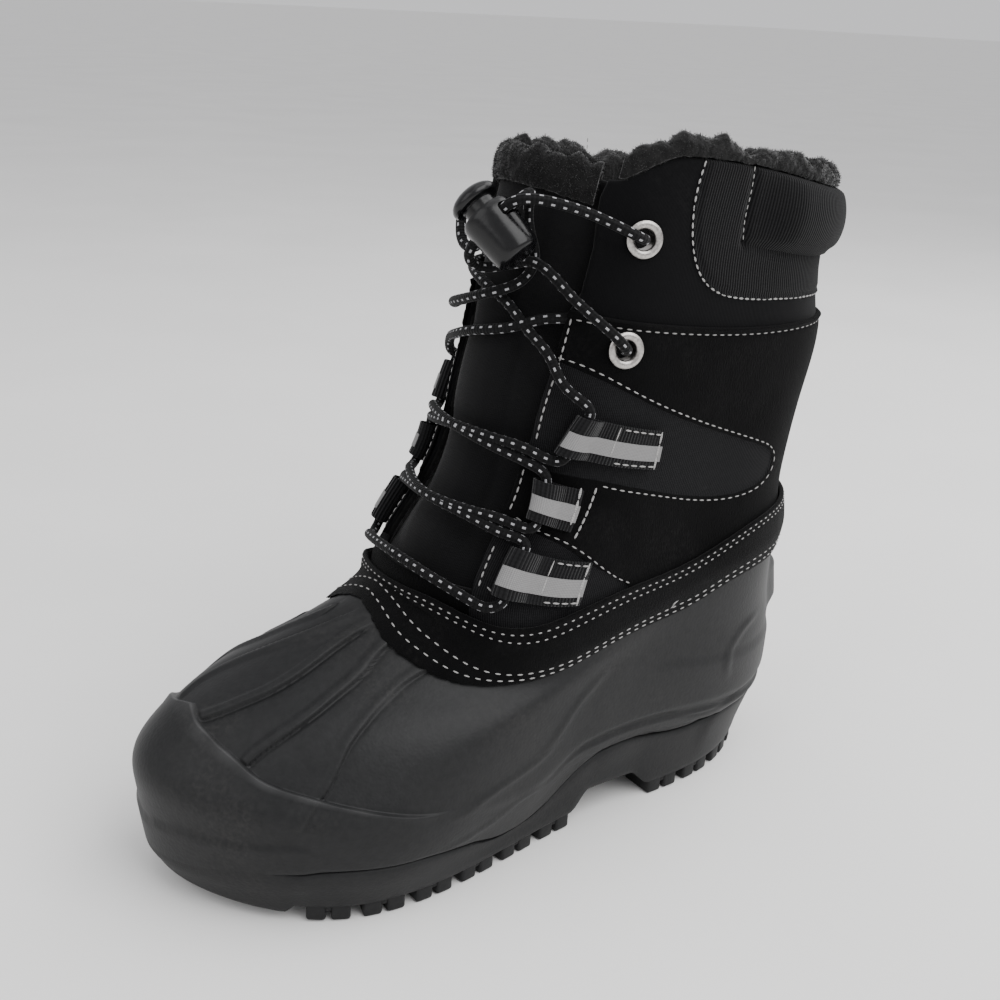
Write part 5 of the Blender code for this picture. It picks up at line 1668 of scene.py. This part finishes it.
def addBlades(ground, name, count, seed):
    # short tapered strands that stand on the pile's outer faces and lean every way
    rng = np.random.default_rng(seed)
    mesh = ground.data
    mesh.calc_loop_triangles()
    corners = cornersOf(ground)
    tris = np.array([tri.vertices for tri in mesh.loop_triangles])
    a, b, c = corners[tris[:, 0]], corners[tris[:, 1]], corners[tris[:, 2]]
    cross = np.cross(b - a, c - a)
    area = np.linalg.norm(cross, axis=1)
    chosen = rng.choice(len(tris), count, p=area / area.sum())
    r1, r2 = np.sqrt(rng.random(count))[:, None], rng.random(count)[:, None]
    root = (1 - r1) * a[chosen] + r1 * (1 - r2) * b[chosen] + r1 * r2 * c[chosen]
    out = cross[chosen] / area[chosen][:, None]
    lean = rng.normal(size=(count, 3))
    way = unit(out + furForm["lean"] * unit(lean))
    side = unit(np.cross(way, rng.normal(size=(count, 3))))
    length = rng.uniform(*furForm["length"], count)[:, None] / 1000
    curl = np.cross(way, side) * rng.uniform(-0.7, 0.7, count)[:, None]
    half = furForm["width"] / 2000
    base = root - way * furForm["sunk"] / 1000
    middle = root + way * length * 0.5 + curl * length * 0.12
    tip = root + way * length + curl * length * 0.45
    points = np.stack([base - side * half, base + side * half, middle - side * half * 0.8,
                       middle + side * half * 0.8, tip], 1).reshape(-1, 3)
    faces = []
    for k in range(count):
        n = 5 * k
        faces += [(n, n + 1, n + 3, n + 2), (n + 2, n + 3, n + 4)]
    piece = addMesh(name, points.tolist(), [], faces)
    piece.data.uv_layers.new(name="UVMap")
    finish(piece, finishes["fur"], slot="fur", smoothAngle=60)
    return piece


def makeAllPile():
    around = np.linspace(*furForm["collarSpan"], furForm["columns"])
    across = np.linspace(*furForm["tongueSpan"], furForm["tongueColumns"])
    collar = makePile("collarPile", collarOutline, around, furForm["collarBlades"], furForm["seed"])
    tongue = makePile("tonguePile", tongueOutline, across, furForm["tongueBlades"], furForm["seed"] + 1)
    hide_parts("collar_fur")
    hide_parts("tongue_fur")


# eyelets
def makeEyelets():
    for label, (s, level) in zip(("Upper", "Lower"), eyeletForm["places"]):
        for side, turn in (("Lateral", s), ("Medial", 1 - s)):
            piece = spun("eyelet" + label + side, eyeletForm["profile"], eyeletForm["sides"],
                         onLeg(turn, level))
            finish(piece, finishes["metal"], slot="gunmetal", smoothAngle=35)
            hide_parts("eyelet_%s_%s" % (label.lower(), side.lower()))


# webbing loops
loopForm = dict(
    thick=0.8, bore=2.85, lift=0.65, gap=0.3, width=11.0, arcPerTurn=320.0, ribPitch=1.15, ribDepth=0.11,
    stripLow=-3.1, stripHigh=1.3, stripThick=0.22,
    loops=(("upper", 0.3700, 148.0, 0.275, 143.0, 0.0085), ("middle", 0.3905, 129.0, 0.351, 127.6, -0.002),
           ("lower", 0.3885, 111.2, 0.313, 108.8, 0.0)))


def loopLength(loop):
    return abs(loop[1] - loop[3]) * loopForm["arcPerTurn"]


def onLoop(loop, place, height, across, mirrored):
    # a point by distance ahead of the fold's middle, height over the quarter and distance across, in mm
    place, height, across = np.broadcast_arrays(np.asarray(place, float), np.asarray(height, float),
                                                np.asarray(across, float))
    name, frontS, frontLevel, rearS, rearLevel, lean = loop
    share = 1.0 + place / loopLength(loop)
    s = rearS + share * (frontS - rearS)
    s = s - lean * across / 6.0 * np.maximum(share, 0)
    level = rearLevel + share * (frontLevel - rearLevel) + across
    return raised(1.0 - s if mirrored else s, level, shaftForm["quarterRise"] + height)


def foldPath(length):
    form = loopForm
    nose = form["bore"] + form["thick"] / 2
    low = form["lift"] + form["thick"] / 2
    high = low + form["thick"] + form["gap"]
    centre = form["lift"] + form["thick"] + form["bore"]
    path = [(place, low) for place in np.arange(-length, -8.4, 3.0)] + [(-8.4, low), (-4.0, low), (-1.5, low)]
    for angle in np.radians(np.arange(-90, 91, 15)):
        path.append((nose * math.cos(angle), centre + nose * math.sin(angle)))
    path += [(-2.6, centre + 1.9), (-4.4, centre + 0.3), (-6.4, high + 0.4), (-8.4, high)]
    path += [(place, high) for place in np.arange(-11.4, -length, -3.0)] + [(-length, high)]
    return np.array(path)


def finePath(path, step):
    # even steps along the path, with its corners softened, and its direction at each
    path = path[np.concatenate([[True], np.linalg.norm(np.diff(path, axis=0), axis=1) > 1e-6])]
    places = arcsOf(path)
    fine = np.arange(0, places[-1] + step / 2, step)
    fine[-1] = places[-1]
    middle = alongLine(fine, places, path)
    for _ in range(3):
        middle[1:-1] = (middle[:-2] + 2 * middle[1:-1] + middle[2:]) / 4
    return fine, middle, unit(np.gradient(middle, axis=0))


def besidePath(loop, middle, way, face, across, mirrored):
    # the path runs out under the fold and back over it, so its left side is the loop's outside
    return onLoop(loop, middle[:, 0] + way[:, 1] * face, middle[:, 1] - way[:, 0] * face, across, mirrored)


def makeLoop(loop, side, mirrored):
    form = loopForm
    length = loopLength(loop)
    fine, middle, way = finePath(foldPath(length), 0.26)
    edge = np.array([0.95, 0.985, 1])
    across = np.concatenate([-edge[::-1], np.linspace(-0.9, 0.9, 9), edge]) * form["width"] / 2
    bulk = np.concatenate([[0.0, 0.6, 0.95], np.ones(9), [0.95, 0.6, 0.0]])
    ribs = form["ribDepth"] * (0.5 + 0.5 * np.cos(2 * np.pi * fine / form["ribPitch"]))
    rows = len(across)
    piece, _, column, row = addGrid("loop" + loop[0].title() + side, 2 * rows - 2, len(fine) - 1)
    top = column < rows
    at = np.where(top, column, 2 * rows - 2 - column)
    face = np.where(top, 1.0, -1.0) * (form["thick"] / 2 + ribs[row] - form["ribDepth"]) * bulk[at]
    points = besidePath(loop, middle[row], way[row], face, across[at], mirrored)
    shapeGrid(piece, fine[row] / 1000, across[at] / 1000, points, openEnds=True)
    finish(piece, finishes["webbing"], slot="webbing", smoothAngle=50)
    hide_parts("loop_%s_%s" % (loop[0], side.lower()))
    makeStrip(loop, side, mirrored, fine, middle, way)


def makeStrip(loop, side, mirrored, fine, middle, way):
    # the light strip sewn on the loop's outer run, from the nose back to the rear end
    form = loopForm
    nose = int(np.argmax(middle[:, 0]))
    keep = np.arange(nose + 6, len(fine))
    across = np.linspace(form["stripLow"], form["stripHigh"], 7)
    rows = len(across)
    piece, _, column, row = addGrid("strip" + loop[0].title() + side, 2 * rows, len(keep) - 1)
    row = keep[row]
    order = np.concatenate([np.arange(rows), np.arange(rows)[::-1], [0]])
    under = np.concatenate([np.zeros(rows), np.ones(rows), [0]])[column] > 0.5
    face = form["thick"] / 2 + np.where(under, -0.12, form["stripThick"])
    points = besidePath(loop, middle[row], way[row], face, across[order[column]], mirrored)
    shapeGrid(piece, fine[row] / 1000, across[order[column]] / 1000, points, openEnds=True)
    finish(piece, finishes["strip"], slot="webbing", smoothAngle=40)


def loopStitches(loop, mirrored):
    # a sewn box at the loop's rear end: two rows along it and a bar tack across each end
    length = loopLength(loop)
    top = loopForm["lift"] + 2 * loopForm["thick"] + loopForm["gap"]
    rows = []

    def addRow(start, end, pitch, size, width):
        start, end = np.array(start, float), np.array(end, float)
        reach = np.linalg.norm(end - start)
        for at in np.arange(size / 2, reach - size / 2 + 0.01, pitch):
            low, high = (start + (end - start) * (at + step) / reach for step in (-size / 2, size / 2))
            a = onLoop(loop, low[0], top, low[1], mirrored)
            b = onLoop(loop, high[0], top, high[1], mirrored)
            over = onLoop(loop, low[0], top + 1, low[1], mirrored) - a
            way = (b - a) / np.linalg.norm(b - a)
            axes = np.stack([(b - a) / 2, np.cross(over, way) * width / 2,
                             over * width * stitchForm["thick"]])
            rows.append(((a + b) / 2 + over * 0.22, axes))

    boxEnd = -length + 1.3
    boxStart = -0.44 * length
    if length > 20:
        addRow((boxEnd, 4.7), (boxStart, 4.7), 2.9, 2.2, 0.6)
        addRow((boxEnd, -4.6), (boxStart, -4.6), 2.9, 2.2, 0.6)
        addRow((boxStart, 5.2), (boxStart, -5.2), 4.0, 3.9, 0.45)
        addRow((boxEnd, 5.6), (boxEnd, -5.6), 3.7, 3.6, 0.75)
    else:
        addRow((boxEnd, 6.2), (boxEnd, -6.2), 3.4, 3.2, 0.9)
    return rows


def makeLoops():
    rows = []
    for loop in loopForm["loops"]:
        for side, mirrored in (("Lateral", False), ("Medial", True)):
            makeLoop(loop, side, mirrored)
            rows += loopStitches(loop, mirrored)
    piece = placedCopies("loopStitches", stitchShape, rows)
    finish(piece, finishes["thread"], slot="webbing")


makeBand()
makeBandStitches()
makeShaftStitches()
makeTongue()
print("winter boot: band, tongue and sewing made")
makeAllPile()
makeEyelets()
makeLoops()
print("winter boot: pile, eyelets and loops made")


# cord lock, its own directions and its cross hole
lockForm = dict(
    foot=(142.4, 23.8, 202.4), axis=(8.0, -17.5, 16.8), holeHint=(-2.0, 5.0, 9.0), hole=13.0, travel=3.0,
    strand=2.15, sides=64, slack=0.28, holeSlack=0.35, slotReach=15.0, slotRound=1.3,
    barrel=((0, 0), (5.2, 0), (6.1, 0.15), (6.8, 0.6), (7.25, 1.4), (7.5, 2.8), (7.7, 5.0), (8.2, 10.85),
            (8.42, 14.6), (8.4, 15.6), (8.25, 16.6), (7.7, 17.4), (7.2, 17.5), (6.1, 17.5), (5.75, 17.2),
            (5.7, 16.6), (5.7, 3), (0, 3)),
    button=((0, 7.5), (5.2, 7.5), (5.2, 20.4), (5.5, 20.8), (7.3, 21.1), (7.75, 21.6), (7.9, 22.3),
            (7.75, 23.0), (7.2, 23.9), (6.2, 24.7), (5.0, 25.3), (3.9, 25.6), (3.5, 25.3), (0, 25.1)))


def lockAxes():
    along = unit(np.array(lockForm["axis"]))
    hint = np.array(lockForm["holeHint"])
    across = unit(hint - np.dot(hint, along) * along)
    return along, across, np.cross(along, across)


def onLock(rise, across, back):
    axes = lockAxes()
    return np.array(lockForm["foot"]) + rise * axes[0] + across * axes[1] + back * axes[2]


def lockPlace():
    return standing(lockForm["foot"], lockAxes()[0])


def slotCutter(low, high):
    # a rounded slot for both strands, right through the lock
    side = lockForm["strand"] + laceForm["diameter"] / 2 + lockForm["slack"]
    outline = ((low, -side), (high, -side), (high, side), (low, side))
    ends = [[onLock(rise, across, back) for rise, back in outline]
            for across in (-lockForm["slotReach"], lockForm["slotReach"])]
    return roundBlock(blockFrom(*ends), lockForm["slotRound"], 4)


def makeLock():
    place = lockPlace()
    half = laceForm["diameter"] / 2 + lockForm["holeSlack"]
    hole = lockForm["hole"]
    for name, profile, body, high, node in (
            ("lockBarrel", lockForm["barrel"], "boot", hole + half, "lock_barrel"),
            ("lockButton", lockForm["button"], "button", hole + half + lockForm["travel"], "lock_button")):
        piece = spun(name, profile, lockForm["sides"], place, closed=False)
        cutter = slotCutter(hole - half, high)
        applyModifier(piece, "BOOLEAN", object=cutter, operation="DIFFERENCE", solver="EXACT")
        bpy.data.objects.remove(cutter)
        finish(piece, finishes["lock"], body=body, slot="lock_plastic", smoothAngle=35)
        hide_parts(node)


# lace
laceForm = dict(
    diameter=3.8, shown=3.35, sides=14, step=0.8,
    outerTop=((0.606, 187.5, -2.0), (0.600, 187.2, -0.8), (0.574, 186.0, 0.6), (0.540, 185.0, 0.8),
              (0.500, 182.6, 1.0), (0.466, 179.0, 1.0), (0.440, 173.6, 1.3), (0.412, 168.0, 3.4),
              (0.386, 160.0, 4.7)),
    innerTop=((0.398, 179.0, -2.0), (0.405, 178.6, -0.8), (0.426, 177.4, 0.9), (0.450, 174.2, 1.3),
              (0.500, 170.0, 1.3), (0.560, 165.6, 1.8), (0.592, 162.6, 3.6), (0.618, 158.0, 4.7)),
    upperCrossing=((0.412, 142.2, 4.4), (0.440, 142.8, 2.9), (0.500, 142.4, 1.8), (0.560, 140.0, 2.9),
                   (0.592, 138.2, 4.4)),
    lowerCrossing=((0.414, 122.2, 4.4), (0.440, 122.4, 3.1), (0.500, 122.0, 2.2), (0.560, 120.8, 3.1),
                   (0.590, 119.4, 4.4)),
    bar=((0.3985, 102.9, 4.6), (0.415, 103.6, 4.1), (0.450, 106.2, 3.1), (0.500, 108.0, 2.7)))


def throughLoop(loop, mirrored):
    height = loopForm["lift"] + loopForm["thick"] + loopForm["bore"]
    return [onLoop(loop, 0.0, height, across, mirrored) for across in (6.6, 2.2, -2.2, -6.6)]


def laid(rows, mirrored):
    return [raised(1.0 - s if mirrored else s, level, height) for s, level, height in rows]


def laceHalf(mirrored):
    upper, middle, lower = loopForm["loops"]
    form = laceForm
    route = laid(form["innerTop"], False) if mirrored else laid(form["outerTop"], False)
    route += throughLoop(upper, mirrored)
    route += laid(form["upperCrossing"], mirrored)
    route += throughLoop(middle, not mirrored)
    route += laid(tuple((1.0 - s, level, height) for s, level, height in form["lowerCrossing"]), mirrored)
    route += throughLoop(lower, mirrored)
    return route + laid(form["bar"], mirrored)


def eyeletExit(index, mirrored, towards, lift):
    s, level = eyeletForm["places"][index]
    s = 1.0 - s if mirrored else s
    out = outward(s, level)
    # the solid part's own height there: the quarter ends between the two eyelets
    base = raised(s, level, float(shaftForm["quarterRise"] * (1 - soft(level, 179.4, 180.6))))
    way = np.array(towards) - base
    way = unit(way - np.dot(way, out) * out)
    return [base - 1.5 * out, base + 1.2 * out + 0.2 * way, base + lift * 0.72 * out + 1.9 * way,
            base + lift * out + 5.4 * way]


def outerEnd():
    hole, strand = lockForm["hole"], lockForm["strand"]
    behind = [onLock(-16.0, -1.6, 11.8), onLock(-8.0, -1.4, 10.6), onLock(-1.4, -3.0, 9.8),
              onLock(2.8, -8.4, 10.0), onLock(5.8, -12.8, 8.6), onLock(8.4, -15.4, 5.2),
              onLock(10.8, -15.0, 1.4), onLock(12.4, -12.0, -1.5)]
    inside = [onLock(hole, across, -strand) for across in (-8.6, -3.0, 3.0, 8.6)]
    away = [onLock(11.6, 12.4, -1.9), onLock(8.4, 15.8, 0.6), onLock(2.6, 18.8, 6.0),
            onLock(-4.6, 20.8, 13.4)]
    first = eyeletExit(1, False, behind[0], 5.6)
    last = eyeletExit(0, False, away[-1], 5.6)
    return first + behind + inside + away + last[::-1]


def innerEnd():
    hole, strand = lockForm["hole"], lockForm["strand"]
    across = [raised(0.600, 172.6, 5.2), raised(0.560, 174.4, 4.8), raised(0.510, 177.8, 5.3),
              onLock(0.6, -18.3, 7.2)]
    behind = [onLock(-2.0, -12.6, 10.2), onLock(-1.4, -7.6, 13.6), onLock(1.4, -3.2, 14.2),
              onLock(5.2, -0.2, 13.4), onLock(9.2, 3.0, 12.6), onLock(12.2, 7.0, 11.6),
              onLock(13.4, 11.0, 9.4), onLock(13.2, 12.2, 5.8), onLock(13.0, 10.4, 3.0)]
    inside = [onLock(hole, place, strand) for place in (7.4, 2.6, -3.0, -9.4)]
    away = [onLock(14.9, -13.0, 3.1), onLock(18.4, -15.2, 5.4), raised(0.524, 203.6, 9.6),
            raised(0.560, 205.0, 7.4), raised(0.600, 206.0, 6.4)]
    first = eyeletExit(1, True, across[0], 5.2)
    last = eyeletExit(0, True, away[-1], 5.6)
    return first + across + behind + inside + away + last[::-1]


def smoothRoute(points, step):
    points = np.array(points, float)
    places = arcsOf(points)
    return throughPlaces(places, points, np.linspace(0, places[-1], int(round(places[-1] / step)) + 1))


def laceTube(name, points, diameter):
    # a round tube with rings that don't twist; its map runs along it in metres and once round it
    route = smoothRoute(points, laceForm["step"])
    arcs = arcsOf(route)
    side = np.array((0.0, 0.0, 1.0))
    frames = []
    for i in range(len(route)):
        way = unit(route[min(i + 1, len(route) - 1)] - route[max(i - 1, 0)])
        side = unit(side - np.dot(side, way) * way)
        frames.append((side, np.cross(way, side)))
    frames = np.array(frames)
    piece, flat, _, row = addGrid(name, laceForm["sides"], len(route) - 1)
    angle = 2 * np.pi * flat[:, 0]
    points = route[row] + diameter / 2 * (np.cos(angle)[:, None] * frames[row, 0]
                                          + np.sin(angle)[:, None] * frames[row, 1])
    shapeGrid(piece, arcs[row] / 1000, flat[:, 0], points, openEnds=True)
    finish(piece, finishes["lace"], slot="lace", smoothAngle=60)
    return piece, route, arcs[-1] / 1000


def makeLace():
    diameter = laceForm["shown"]
    outer = laceTube("laceCrossingsOuter", laceHalf(False), diameter)[0]
    inner = laceTube("laceCrossingsInner", laceHalf(True), diameter)[0]
    crossings = joined([outer, inner], "laceCrossings")
    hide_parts("lace_crossings")
    for name, points, node in (("laceEndLateral", outerEnd(), "lace_end_lateral"),
                               ("laceEndMedial", innerEnd(), "lace_end_medial")):
        piece, route, length = laceTube(name, points, diameter)
        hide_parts(node)


# pull tab at the back of the collar
tabForm = dict(middle=0.992, half=0.022, low=200.6, high=225.0, outer=2.5, inner=0.6, columns=22, rows=60,
               edgeRound=0.7, size=(13.0, 26.0))


def makePullTab():
    form = tabForm
    columns, rows = sheetSteps(form, (False, False))

    def place(u, w):
        return form["middle"] + (2 * u - 1) * form["half"], form["low"] + w * (form["high"] - form["low"])

    def faces(s, level):
        base = shaftRelief(np.zeros_like(s), level)
        return base + form["outer"], base + form["inner"]

    piece = wrapSheet("pullTab", columns, rows, place, faces, (form["edgeRound"],) * 2, form["size"])
    finish(piece, finishes["webbing"], slot="webbing")
    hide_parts("pull_tab")


# insole
insoleForm = dict(columns=200, level=16.0,
                  profile=((1.0, 5.4), (1.4, 4.9), (2.5, 4.7), (4.0, 4.7), (4.7, 4.9), (5.0, 5.6), (5.1, 8.0),
                           (4.9, 14.0), (4.7, 22.0), (4.6, 30.0)))


def makeInsole():
    # the profile holds the height over the insole's level and the depth in from the skin
    profile = insoleForm["profile"]
    piece, flat, _, row = addGrid("insoleFelt", insoleForm["columns"], len(profile) - 1)
    lift, inset = np.array(profile)[row].T
    points = insetPoint(flat[:, 0], np.full(len(flat), insoleForm["level"]), inset)
    points[:, 2] += lift
    shapeGrid(piece, flat[:, 0] * 0.5, inset / 1000, points, openEnds=True)
    finish(piece, finishes["felt"], slot="insole_felt")
    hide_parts("insole")


makeLock()
makeLace()
makePullTab()
makeInsole()
print("winter boot: lace, cord lock, pull tab and insole made")
